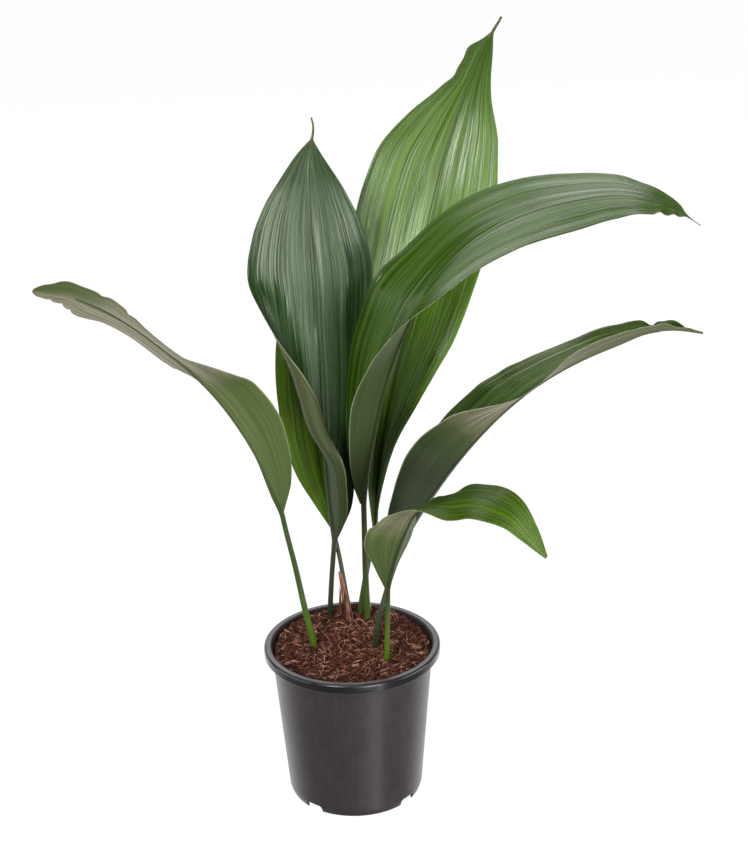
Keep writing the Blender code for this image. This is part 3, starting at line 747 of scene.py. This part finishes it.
def pot_corners(pot):
    """Corners of the wall, floor and rim from the axis round to the axis again."""
    top, rim, foot, wall = pot.height, pot.rim_radius, pot.foot_radius, pot.wall
    skirt, under = top - 0.0086, top - wall
    floor, ring = 0.0096, 0.008          # height of the floor, and of its underside
    underside = [(0, 0, 0), (HOLLOW - 0.0032, 0, .0008), (HOLLOW + 0.0008, ring, .0008),
                 (foot - wall, ring, .0006), (foot - wall - 0.0004, 0, .0002),
                 (foot - 0.0006, 0, .0003), (foot, 0.0008, .0004)]
    outside = [(WALL_LOW, 0.006, .002), (WALL_HIGH - 0.0004, skirt - 0.0065, .0003),
               (WALL_HIGH, skirt - 0.006, .0003), (WALL_HIGH + 0.0001, skirt, 0)]
    skirted_rim = [(WALL_HIGH + 0.0004, under, .0006), (rim - wall, under, .0005),
                   (rim - wall, skirt, .0002), (rim - 0.0002, skirt, .0002),
                   (rim, skirt + 0.0004, .0002), (rim, top - 0.0016, .0008),
                   (rim - 0.0015, top, .0011), (WALL_HIGH + 0.0017, top, .0007),
                   (WALL_HIGH + 0.0009, top - 0.0008, .0006)]
    inside = [(WALL_HIGH - wall, skirt, .002),
              (WALL_LOW - wall + 0.0006, floor + 0.002, .0015),
              (WALL_LOW - wall - 0.0015, floor, .0008), (HOLLOW, floor, .0008),
              (HOLLOW - 0.004, 0.0016, .0008), (0, 0.0016, 0)]
    return underside + outside + skirted_rim + inside


def long_runs_split(outline, longest=0.006):
    """The outline with its long straight runs cut into shorter ones."""
    split = [outline[0]]
    for (r0, z0), (r1, z1) in zip(outline, outline[1:]):
        pieces = max(1, ceil(hypot(r1 - r0, z1 - z0) / longest))
        for k in range(1, pieces + 1):
            split.append((r0 + (r1 - r0) * k / pieces, z0 + (z1 - z0) * k / pieces))
    return split


def notch_cutter():
    """Round-cornered blocks that cut the four notches in the foot."""
    shape = bmesh.new()
    size = Matrix.Diagonal((0.018, 0.016, 0.0102, 1))
    for degrees in (50, 140, 230, 320):
        turn = Matrix.Rotation(radians(degrees), 4, "Z")
        place = turn @ Matrix.Translation((0, -0.063, 0.0021)) @ size
        cube = bmesh.ops.create_cube(shape, size=1.0, matrix=place)["verts"]
        upper = {v for v in cube if v.co.z > 0}
        radial = turn @ Vector((0, -1, 0))
        corner = [e for e in shape.edges if set(e.verts) <= upper
                  and abs((e.verts[0].co - e.verts[1].co).normalized().dot(radial)) > 0.9]
        bmesh.ops.bevel(shape, geom=corner, offset=0.003, segments=4, profile=0.5,
                        affect="EDGES", material=-1)
    return shape


def drain_cutter(holes=8, ring=0.045, radius=0.004):
    """Short rods that cut the drain holes in the floor."""
    shape = bmesh.new()
    for i in range(holes):
        angle = tau * (i + 0.5) / holes
        place = Matrix.Translation((ring * cos(angle), ring * sin(angle), 0.0088))
        bmesh.ops.create_cone(shape, cap_ends=True, segments=28, radius1=radius,
                              radius2=radius, depth=0.006, matrix=place)
    return shape


def make_pot(settings):
    outline = long_runs_split(eased(pot_corners(settings)))
    pot = add_mesh("pot_shell", turned(outline, 160), [plastic_look(settings)], 32)
    cutters = [add_mesh("notches", notch_cutter(), []),
               add_mesh("drains", drain_cutter(), [])]
    for cutter in cutters:
        modifier = pot.modifiers.new(cutter.name, "BOOLEAN")
        modifier.operation = "DIFFERENCE"
        modifier.solver = "EXACT"
        modifier.object = cutter
    cut = made_real(pot)
    pot.modifiers.clear()
    pot.data = cut
    for cutter in cutters:
        bpy.data.objects.remove(cutter, do_unlink=True)
    settle(pot, "pot", "pot")


# ---- soil

def wall_inside(z):
    """Radius of the pot's inner wall at a height, from the floor to the skirt."""
    foot, low, high = 0.0639, 0.006, 0.1484
    return foot + (z - low) / (high - low) * (WALL_HIGH - WALL_LOW)


@cache
def chip_boxes():
    """Middle and half size of each loose chip's box."""
    boxes = [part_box(f"bark_chip_{number}") for number in range(1, BARK_CHIPS + 1)]
    return [((low + high) / 2, (high - low) / 2) for low, high in boxes]


def near_chip(x, y):
    """1 in the middle of a loose chip, falling to 0 a little beyond its edge."""
    off = min(hypot((x - middle.x) / half.x, (y - middle.y) / half.y)
              for middle, half in chip_boxes())
    return exp(-(off / 1.3) ** 4)


def soil_top(x, y, settings):
    """Height of the loose top: wavy, lumpy, higher behind, and level under the chips."""
    a, b = x / MM, y / MM
    waves = sin(a / 11 + 1) * cos(b / 13) + 0.6 * sin(a / 7 - b / 9 + 2)
    mound = 3.0 * exp(-((a - 2) ** 2 + (b - 28) ** 2) / 1700)     # round the stems
    slope = 0.8 + 0.09 * max(0.0, b)
    edge = 0.6 * max(0.0, hypot(a, b) / 10 - 6.6)
    lumps = noise.fractal(Vector((x, y, 0.3)) * 130, 0.8, 2.1, 4)
    top = settings.level + (1.1 * waves + mound + slope - edge) * MM \
        + settings.roughness * lumps
    chip = near_chip(x, y)
    return top * (1 - chip) + min(top, settings.level) * chip


def make_soil(settings):
    """The body of coir, with rings close together on its top, and what lies on it."""
    low, level = SOIL_LOW.z, settings.level
    outline = [(0, low), (0.0602, low), (wall_inside(0.0125) - 0.0006, 0.0122)]
    outline += [(wall_inside(z) - 0.0004, z) for z in np.linspace(0.03, level - 0.002, 8)]
    outer, ring, rings = 0.0752, 0.0011, 68
    outline += [(outer - ring * i, level) for i in range(rings)] + [(0, level)]
    shape = turned(outline, 230)
    for vert in shape.verts:
        if vert.co.z > level - 0.001:
            vert.co.z = soil_top(vert.co.x, vert.co.y, settings)
    coir = coir_look(settings)
    settle(add_mesh("soil", shape, [coir]), "root_ball", "root_ball")
    settle(make_crumbs(settings, coir), "root_ball")
    chance = random.Random(FIBRE_SEED)
    routes = [fibre_route(chance, settings) for _ in range(settings.fibres)]
    settle(fibre_piece("soil_fibres", settings.fibre_radius, routes, settings, chance),
           "root_ball")


def make_crumbs(settings, coir, reach=0.0735):
    """Small crumbs of coir scattered on the top, clear of the chips."""
    chance = random.Random(CRUMB_SEED)
    shape = bmesh.new()
    for _ in range(settings.crumbs):
        radius = reach * sqrt(chance.random())
        heading = chance.uniform(0, tau)
        x, y = radius * cos(heading), radius * sin(heading)
        if near_chip(x, y) > 0.3:
            continue
        size = MM * chance.uniform(0.5, 1.0) ** 2 * 2.2
        place = Matrix.Translation((x, y, soil_top(x, y, settings) + size * 0.25))
        turn = Matrix.Rotation(chance.uniform(0, tau), 4, "Z")
        stretch = Matrix.Diagonal((size * chance.uniform(0.8, 1.7), size,
                                   size * chance.uniform(0.45, 0.9), 1))
        made = bmesh.ops.create_icosphere(shape, subdivisions=1, radius=1.0,
                                          matrix=place @ turn @ stretch)["verts"]
        for vert in made:
            vert.co += Vector([chance.uniform(-1, 1) for _ in range(3)]) * size * 0.22
    return add_mesh("soil_crumbs", shape, [coir], 20)


def fibre_route(chance, settings, steps=6, start=0.072, limit=0.0742):
    """Points of one fibre that lies on the top, more or less bent, clear of the chips."""
    x = y = 1.0
    while hypot(x, y) > start or chance.random() < 1.3 * near_chip(x, y):
        x, y = chance.uniform(-start, start), chance.uniform(-start, start)
    heading = chance.uniform(0, tau)
    bend = chance.gauss(0, 0.14)
    reach = MM * min(26, 4 + chance.expovariate(1 / 6))
    arch = MM * chance.uniform(0, 2.2)
    lift = MM * (chance.uniform(1, 7) if chance.random() < 0.12 else chance.uniform(0, 1))
    route = []
    for k in range(steps + 1):
        t = k / steps
        inward = min(1.0, limit / hypot(x, y))
        x, y = x * inward, y * inward
        z = soil_top(x, y, settings) + 0.3 * MM + arch * sin(pi * t) + lift * t * t
        route.append((x, y, z))
        heading += bend + chance.gauss(0, 0.12)
        x += reach / steps * cos(heading)
        y += reach / steps * sin(heading)
    return route


def fibre_piece(name, radius, routes, settings, chance):
    """Thin bent rods along the routes, thinner towards their ends, in three tones."""
    line = bpy.data.curves.new(name, "CURVE")
    line.dimensions = "3D"
    line.bevel_depth = radius
    line.bevel_resolution = 0
    line.use_fill_caps = True
    for tone in (fibre_look("fibre_brown", srgb(34, 16, 10), srgb(84, 48, 36)),
                 fibre_look("fibre_red", srgb(78, 40, 30), srgb(138, 86, 68)),
                 fibre_look("fibre_straw", srgb(130, 86, 66), settings.straw)):
        line.materials.append(tone)
    for route in routes:
        spline = line.splines.new("POLY")
        spline.points.add(len(route) - 1)
        thick = chance.uniform(0.5, 1.0) + chance.random() ** 4
        for i, (point, place) in enumerate(zip(spline.points, route)):
            point.co = (*place, 1.0)
            point.radius = thick * (1 - 0.6 * (2 * i / (len(route) - 1) - 1) ** 2)
        spline.material_index = chance.choices((0, 1, 2), (5, 4, 2))[0]
    source = linked("fibre_lines", line)
    item = linked(name, made_real(source))
    bpy.data.objects.remove(source, do_unlink=True)
    return item


# ---- stems and blades

class Sheet(NamedTuple):
    """A blade's middle surface in rows and columns, and what its looks need."""
    points: np.ndarray
    face: np.ndarray
    at: np.ndarray            # place of each row along the midrib, beyond 1 in the hair
    half_width: np.ndarray


def blade_sheet(leaf, rows, half_columns):
    """The smooth blade in metres, in rows from its stem and columns from its left."""
    line = distances(leaf.midrib + leaf.hair)
    at = np.linspace(0, 1 / line[len(leaf.midrib) - 1], rows + 1)
    midrib = smooth_path(leaf.midrib, at, leaf.hair) * MM
    tangent = unit(np.gradient(midrib, axis=0))
    front = np.array([0, -cos(VIEW_TILT), sin(VIEW_TILT)])
    level_face = unit(front - (tangent @ front)[:, None] * tangent)
    level_side = np.cross(tangent, level_face)
    turn = np.radians(keyed(leaf.turn, at))[:, None]
    side = np.cos(turn) * level_side + np.sin(turn) * level_face
    face = np.cos(turn) * level_face - np.sin(turn) * level_side
    hair = np.clip(1 - 9 * (at - 1), 0.28, 1)           # thins quickly beyond the tip
    half_width = keyed(leaf.width, at) / 2 * MM * hair
    points = np.empty((rows + 1, 2 * half_columns + 1, 3))
    points[:, half_columns] = midrib
    halves = ((-1, leaf.fold_left, leaf.curl_left), (1, leaf.fold_right, leaf.curl_right))
    for sign, fold_keys, curl_keys in halves:
        fold = np.radians(keyed(fold_keys, at))
        curl = np.radians(keyed(curl_keys, at))
        step = half_width * (1 - sign * keyed(leaf.lopsided, at)) / half_columns
        for half, place, cut, reach in leaf.nicks:
            if half == sign:
                step = step * (1 - cut * np.exp(-((at - place) / reach) ** 2))
        point = midrib
        for column in range(1, half_columns + 1):
            angle = (fold + curl * ((column - 0.5) / half_columns) ** 2)[:, None]
            heading = sign * np.cos(angle) * side + np.sin(angle) * face
            point = point + step[:, None] * heading
            points[:, half_columns + sign * column] = point
    return Sheet(points, face, at, half_width)


def facets(chance, s, t, folds=21, stations=5):
    """Heights from -1 to 1 of flat-sided pleats, which slowly change along a blade."""
    across = np.linspace(-1, 1, folds) + chance.uniform(-0.035, 0.035, folds)
    along = np.linspace(0, 1, stations)
    heights = chance.uniform(-1, 1, (stations, folds))
    rows = np.transpose([np.interp(t[:, 0], along, fold) for fold in heights.T])
    return np.array([np.interp(s[0], across, row) for row in rows])


def pleated(sheet, leaf, depth, seed):
    """The blade's points raised and sunk along its pleats, midrib and rippled edges."""
    chance = np.random.default_rng(seed)
    s = np.linspace(-1, 1, sheet.points.shape[1])[None, :]
    t = np.minimum(sheet.at, 1.0)[:, None]
    height = facets(chance, s, t) * depth
    height *= np.clip(sheet.half_width / (30 * MM), 0, 1)[:, None]
    off = np.abs(s) * sheet.half_width[:, None]
    height -= np.exp(-(off / (1.1 * MM)) ** 2) * 0.45 * MM * np.clip(1.1 - t, 0, 1)
    phase = chance.uniform(0, tau, 4)
    ripple = np.sin(tau * 3.1 * t + phase[0] + 1.5 * s) \
        + 0.7 * np.sin(tau * 5.7 * t + phase[1] - 2 * s)
    height += 0.6 * MM * ripple * np.abs(s) ** 2.5 * np.sin(pi * t) ** 0.5
    frill = np.sin(tau * 11 * t + phase[2]) + 0.6 * np.sin(tau * 19 * t + phase[3])
    height += leaf.frill * MM * frill * s * np.abs(s) * np.clip((t - 0.78) / 0.1, 0, 1)
    normal = unit(np.cross(np.gradient(sheet.points, axis=1),
                           np.gradient(sheet.points, axis=0)))
    return sheet.points + height[..., None] * normal


def make_blade(leaf, index, settings, looks, half_columns=34, row_length=2.2):
    """A blade in rows this many millimetres long."""
    reach = np.linalg.norm(np.diff(leaf.midrib, axis=0), axis=1).sum()
    rows = int(reach / row_length)
    sheet = blade_sheet(leaf, rows, half_columns)
    points = pleated(sheet, leaf, settings.pleat, PLEAT_SEED + index)
    shape, column, row = charted_grid(2 * half_columns, rows)
    set_places(shape, points[row, column])
    # The right half reads its own keys where given. On the left leaf they add a painted
    # reflection.
    left, right = (keyed(keys, sheet.at)[row]
                   for keys in (leaf.bloom, leaf.bloom_and_sheen_right or leaf.bloom))
    rightness = np.clip(0.5 + 1.2 * (column / half_columns - 1), 0.0, 1.0)
    dry = np.clip((sheet.at - 0.985) / 0.02, 0, 1)      # from just before the tip
    set_values(shape, young=keyed(leaf.young, sheet.at)[row], dry=dry[row],
               bloom=left * (1 - rightness) + right * rightness,
               seed=3.7 * index, matt=leaf.matt)
    blade = add_mesh(f"blade_{leaf.name}", shape, looks)
    thicken(blade, settings.thickness)
    settle(blade, "blade", f"leaf_{leaf.name}_blade")


def make_stem(leaf, index, look, tip=0.4):
    """The stem, which runs on under the blade as a ridge that thins to the tip radius."""
    foot, top = leaf.stem_radii
    below = np.linspace(0, 1, 50)[:-1]
    lower = smooth_path(leaf.stem, below) * MM
    sheet = blade_sheet(leaf, 120, 1)
    covered = sheet.at < 0.9
    at, face = sheet.at[covered], sheet.face[covered]
    radius = (top + (tip - top) * at ** 0.42) * MM
    drop = radius * 0.85 * np.clip(at / 0.06, 0, 1)     # out from behind the blade
    upper = sheet.points[covered, 1] - drop[:, None] * face
    radii = np.concatenate([(top + (foot - top) * (1 - below) ** 1.5) * MM, radius])
    shape = tube(np.concatenate([lower, upper]), radii,
                 np.concatenate([np.repeat(face[:1], len(lower), axis=0), face]))
    height = np.array([vert.co.z for vert in shape.verts]) - leaf.stem[0][2] * MM
    low = np.clip(1.25 - height / 0.08, 0, 1)           # 1 up to 20 mm, 0 from 100 mm on
    set_values(shape, young=leaf.ridge + (leaf.young_foot - leaf.ridge) * low,
               seed=2.3 * index + 1)
    settle(add_mesh(f"stem_{leaf.name}", shape, [look]), "stem", f"leaf_{leaf.name}_stem")


# ---- sheath and bark

def make_sheath(settings, rows=60, columns=24, low=144, high=208):
    """The dry scale round the foot of the stem behind, and its frayed fibres."""
    leaf = next(leaf for leaf in LEAVES if leaf.name == "behind")
    path = smooth_path(leaf.stem, np.linspace(0, 1, 200))

    def middle(z):
        return np.array([np.interp(z, path[:, 2], path[:, k]) for k in (0, 1)])

    chance = random.Random(SCALE_SEED)
    ragged = np.array([chance.uniform(0.93, 1.0) for _ in range(columns + 1)])
    shape, column, row = charted_grid(columns, rows)
    along = row / rows * ragged[column]
    z = low + (high - low) * along
    half = radians(85) * (1 - 0.62 * along ** 1.2)
    angle = np.radians(235 - 6 * along) + half * (2 * column / columns - 1)
    radius = 5.05 - 1.2 * along + 0.25 * np.sin(column * 1.9)
    x, y = middle(z) + radius * np.array([np.cos(angle), np.sin(angle)])
    set_places(shape, np.transpose([x, y, z]) * MM)
    sheath = add_mesh("dry_scale", shape, [sheath_look()])
    thicken(sheath, 0.0004)
    settle(sheath, "dry_sheath", "dry_sheath")
    routes = []
    for _ in range(46):
        angle = radians(chance.uniform(140, 300))
        start = chance.uniform(150, 192)
        heading = np.array([cos(angle), sin(angle)])
        spread = chance.uniform(2, 9)
        route = []
        for t in np.linspace(0, 1, 6):
            x, y = (middle(start) + heading * (5.3 + spread * t ** 2.5)) * MM
            drop = 1 - (1 - t) ** 1.3
            z = start * MM + (soil_top(x, y, settings) - start * MM) * drop
            route.append((x, y, z + 0.4 * MM))
        routes.append(route)
    settle(fibre_piece("scale_fibres", 0.00034, routes, settings, chance), "dry_sheath")


def make_bark(settings):
    """The loose chips, split and angular, where their solids lie."""
    look = bark_look(settings)
    for number, (middle, half) in enumerate(chip_boxes(), 1):
        chance = random.Random(number)
        shape = bmesh.new()
        bmesh.ops.create_icosphere(shape, subdivisions=4, radius=1.0)
        splits = [(Vector([chance.gauss(0, 1) for _ in range(3)]).normalized(),
                   chance.uniform(0.45, 0.75)) for _ in range(9)]
        for vert in shape.verts:
            for direction, reach in splits:
                vert.co -= max(0.0, vert.co.dot(direction) - reach) * direction
            place = vert.co * 2.2 + Vector((number * 9, 0, 0))
            rough = 0.96 + 0.10 * noise.fractal(place, 0.7, 2.0, 4)
            vert.co = middle + half * vert.co * rough
        chip = add_mesh(f"bark_{number}", shape, [look], 30)
        settle(chip, "bark", f"bark_chip_{number}")


# ---- stage

def add_light(name, kind, energy, place, target, **form):
    """A light that isn't seen itself, aimed at the target."""
    data = bpy.data.lights.new(name, kind)
    data.energy = energy
    for setting, value in form.items():
        setattr(data, setting, value)
    light = linked(name, data)
    light.visible_camera = False
    light.location = place
    light.rotation_euler = \
        (Vector(target) - Vector(place)).to_track_quat("-Z", "Y").to_euler()


def pale_floor(settings):
    """A floor with a glow of its own, so that shadows on it stay faint."""
    s = Shading("pale_floor")
    return s.surface(Base_Color=(0.08, 0.08, 0.08), Roughness=0.9, Specular_IOR_Level=0.1,
                     Emission_Color=settings.floor, Emission_Strength=settings.glow)


def make_sky(settings):
    """Even light from all round: dim from above, brightest from low down behind."""
    s = Shading("studio", "worlds")
    y, z = s.parts(s.node("TexCoord"))[1:]
    low, back = s.between(z, 0.6, 0.05), s.between(y, 0.0, 0.6) * s.between(z, 0.25, 0.0)
    level = settings.zenith + low * (settings.horizon - settings.zenith) \
        + back * (settings.behind - settings.horizon)
    glow = s.node("Background", {"Color": (1, 1, 1), "Strength": level})
    bpy.context.scene.world = s.finish(glow, "OutputWorld")


def make_stage(settings):
    shape = bmesh.new()
    bmesh.ops.create_grid(shape, x_segments=4, y_segments=4, size=15.0,
                          matrix=Matrix.Translation((0, 0, -0.0002)))
    floor = add_mesh("floor", shape, [pale_floor(settings)])
    floor.visible_glossy = floor.visible_diffuse = floor.visible_shadow = False
    make_sky(settings)
    bpy.context.scene.view_settings.view_transform = "Standard"
    add_light("high", "SUN", settings.high, (-0.4, -0.7, 2.2), (0, 0, 0),
              angle=radians(60))
    for name, width, height, place, aim in (
            ("front", 0.8, 1.15, (0.72, -1.75, 0.12), 0.35),
            ("left", 0.5, 0.7, (-0.8, -1.8, 1.15), 0.35),
            ("side", 1.8, 1.4, (-1.9, -0.4, 0.2), 0.35),
            ("right", 1.4, 1.2, (1.9, -0.3, 0.3), 0.35),
            ("back", 2.0, 1.5, (-0.15, 1.45, 1.6), 0.35),
            ("strip", 0.13, 0.9, (0.68, -1.0, -0.85), 0.08)):
        add_light(name, "AREA", getattr(settings, name), place, (0, 0, aim),
                  shape="RECTANGLE", size=width, size_y=height)


def make_camera():
    """A long lens in front, well above the pot."""
    data = bpy.data.cameras.new("front_view")
    data.lens, data.sensor_width = 94.36, 36.0
    data.clip_start, data.clip_end = 0.05, 60.0
    camera = linked("front_view", data)
    away, rise = 2.2, radians(30.4)       # distance from the pot's middle, and climb
    place = Vector((0, -away * cos(rise), 0.08 + away * sin(rise)))
    turn = Matrix.Rotation(radians(-0.80), 4, "Z") \
        @ Matrix.Rotation(radians(90 - 23.1), 4, "X") \
        @ Matrix.Rotation(radians(-1.45), 4, "Z")
    camera.matrix_world = Matrix.Translation(place) @ turn
    bpy.context.scene.camera = camera


# ---- operators and panel

class PLANT_OT_stage(bpy.types.Operator):
    """Lay the pale floor, set the soft lights and stand the camera"""
    bl_idname = "plant.stage"
    bl_label = "Stage"

    def execute(self, context):
        make_stage(context.scene.plant.stage)
        make_camera()
        return {"FINISHED"}


class PLANT_OT_pot(bpy.types.Operator):
    """Turn the pot and cut its drainage notches and holes"""
    bl_idname = "plant.pot"
    bl_label = "Pot"

    def execute(self, context):
        make_pot(context.scene.plant.pot)
        return {"FINISHED"}


class PLANT_OT_soil(bpy.types.Operator):
    """Fill the pot with coir and scatter loose fibres and crumbs on it"""
    bl_idname = "plant.soil"
    bl_label = "Soil"

    def execute(self, context):
        make_soil(context.scene.plant.soil)
        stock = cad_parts["rootstock"]
        stock.data.materials.clear()
        stock.data.materials.append(rootstock_look())
        return {"FINISHED"}


class PLANT_OT_stems(bpy.types.Operator):
    """Stand a stem under every blade"""
    bl_idname = "plant.stems"
    bl_label = "Stems"

    def execute(self, context):
        look = stem_look(context.scene.plant.leaf)
        for index, leaf in enumerate(LEAVES):
            make_stem(leaf, index, look)
        return {"FINISHED"}


class PLANT_OT_blades(bpy.types.Operator):
    """Spread a pleated blade on every stem"""
    bl_idname = "plant.blades"
    bl_label = "Blades"

    def execute(self, context):
        settings = context.scene.plant.leaf
        glossy = blade_top_look(settings, "blade_upper", (0.92, 1.0, 0.84))
        matt = blade_top_look(settings, "blade_upper_matt", (0.85, 1.0, 0.35))
        others = [blade_under_look(settings), margin_look(settings)]
        for index, leaf in enumerate(LEAVES):
            upper = matt if leaf.matt else glossy
            make_blade(leaf, index, settings, [upper, *others])
        return {"FINISHED"}


class PLANT_OT_litter(bpy.types.Operator):
    """Wrap the dry scale round its stem and lay the bark chips"""
    bl_idname = "plant.litter"
    bl_label = "Dry scale and bark"

    def execute(self, context):
        make_sheath(context.scene.plant.soil)
        make_bark(context.scene.plant.soil)
        return {"FINISHED"}


class PLANT_PT_sidebar(bpy.types.Panel):
    """Sizes and colours of the plant, and a button for each group of pieces"""
    bl_idname = "PLANT_PT_sidebar"
    bl_label = "Potted plant"
    bl_space_type = "VIEW_3D"
    bl_region_type = "UI"
    bl_category = "Plant"

    def draw(self, context):
        for group in ("pot", "soil", "leaf", "stage"):
            settings = getattr(context.scene.plant, group)
            box = self.layout.box()
            for name in settings.bl_rna.properties.keys():
                if name not in ("rna_type", "name"):
                    box.prop(settings, name)
        for operator in OPERATORS:
            self.layout.operator(operator.bl_idname)


OPERATORS = (PLANT_OT_stage, PLANT_OT_pot, PLANT_OT_soil, PLANT_OT_stems, PLANT_OT_blades,
             PLANT_OT_litter)
CLASSES = (PotSettings, SoilSettings, LeafSettings, StageSettings, PlantSettings,
           *OPERATORS, PLANT_PT_sidebar)


def register():
    for item in CLASSES:
        bpy.utils.register_class(item)
    bpy.types.Scene.plant = PointerProperty(type=PlantSettings)


def unregister():
    del bpy.types.Scene.plant
    for item in reversed(CLASSES):
        bpy.utils.unregister_class(item)


def main():
    register()
    bpy.ops.plant.stage()
    bpy.ops.plant.pot()
    bpy.ops.plant.soil()
    bpy.ops.plant.stems()
    bpy.ops.plant.blades()
    bpy.ops.plant.litter()


if __name__ == "__main__":
    main()
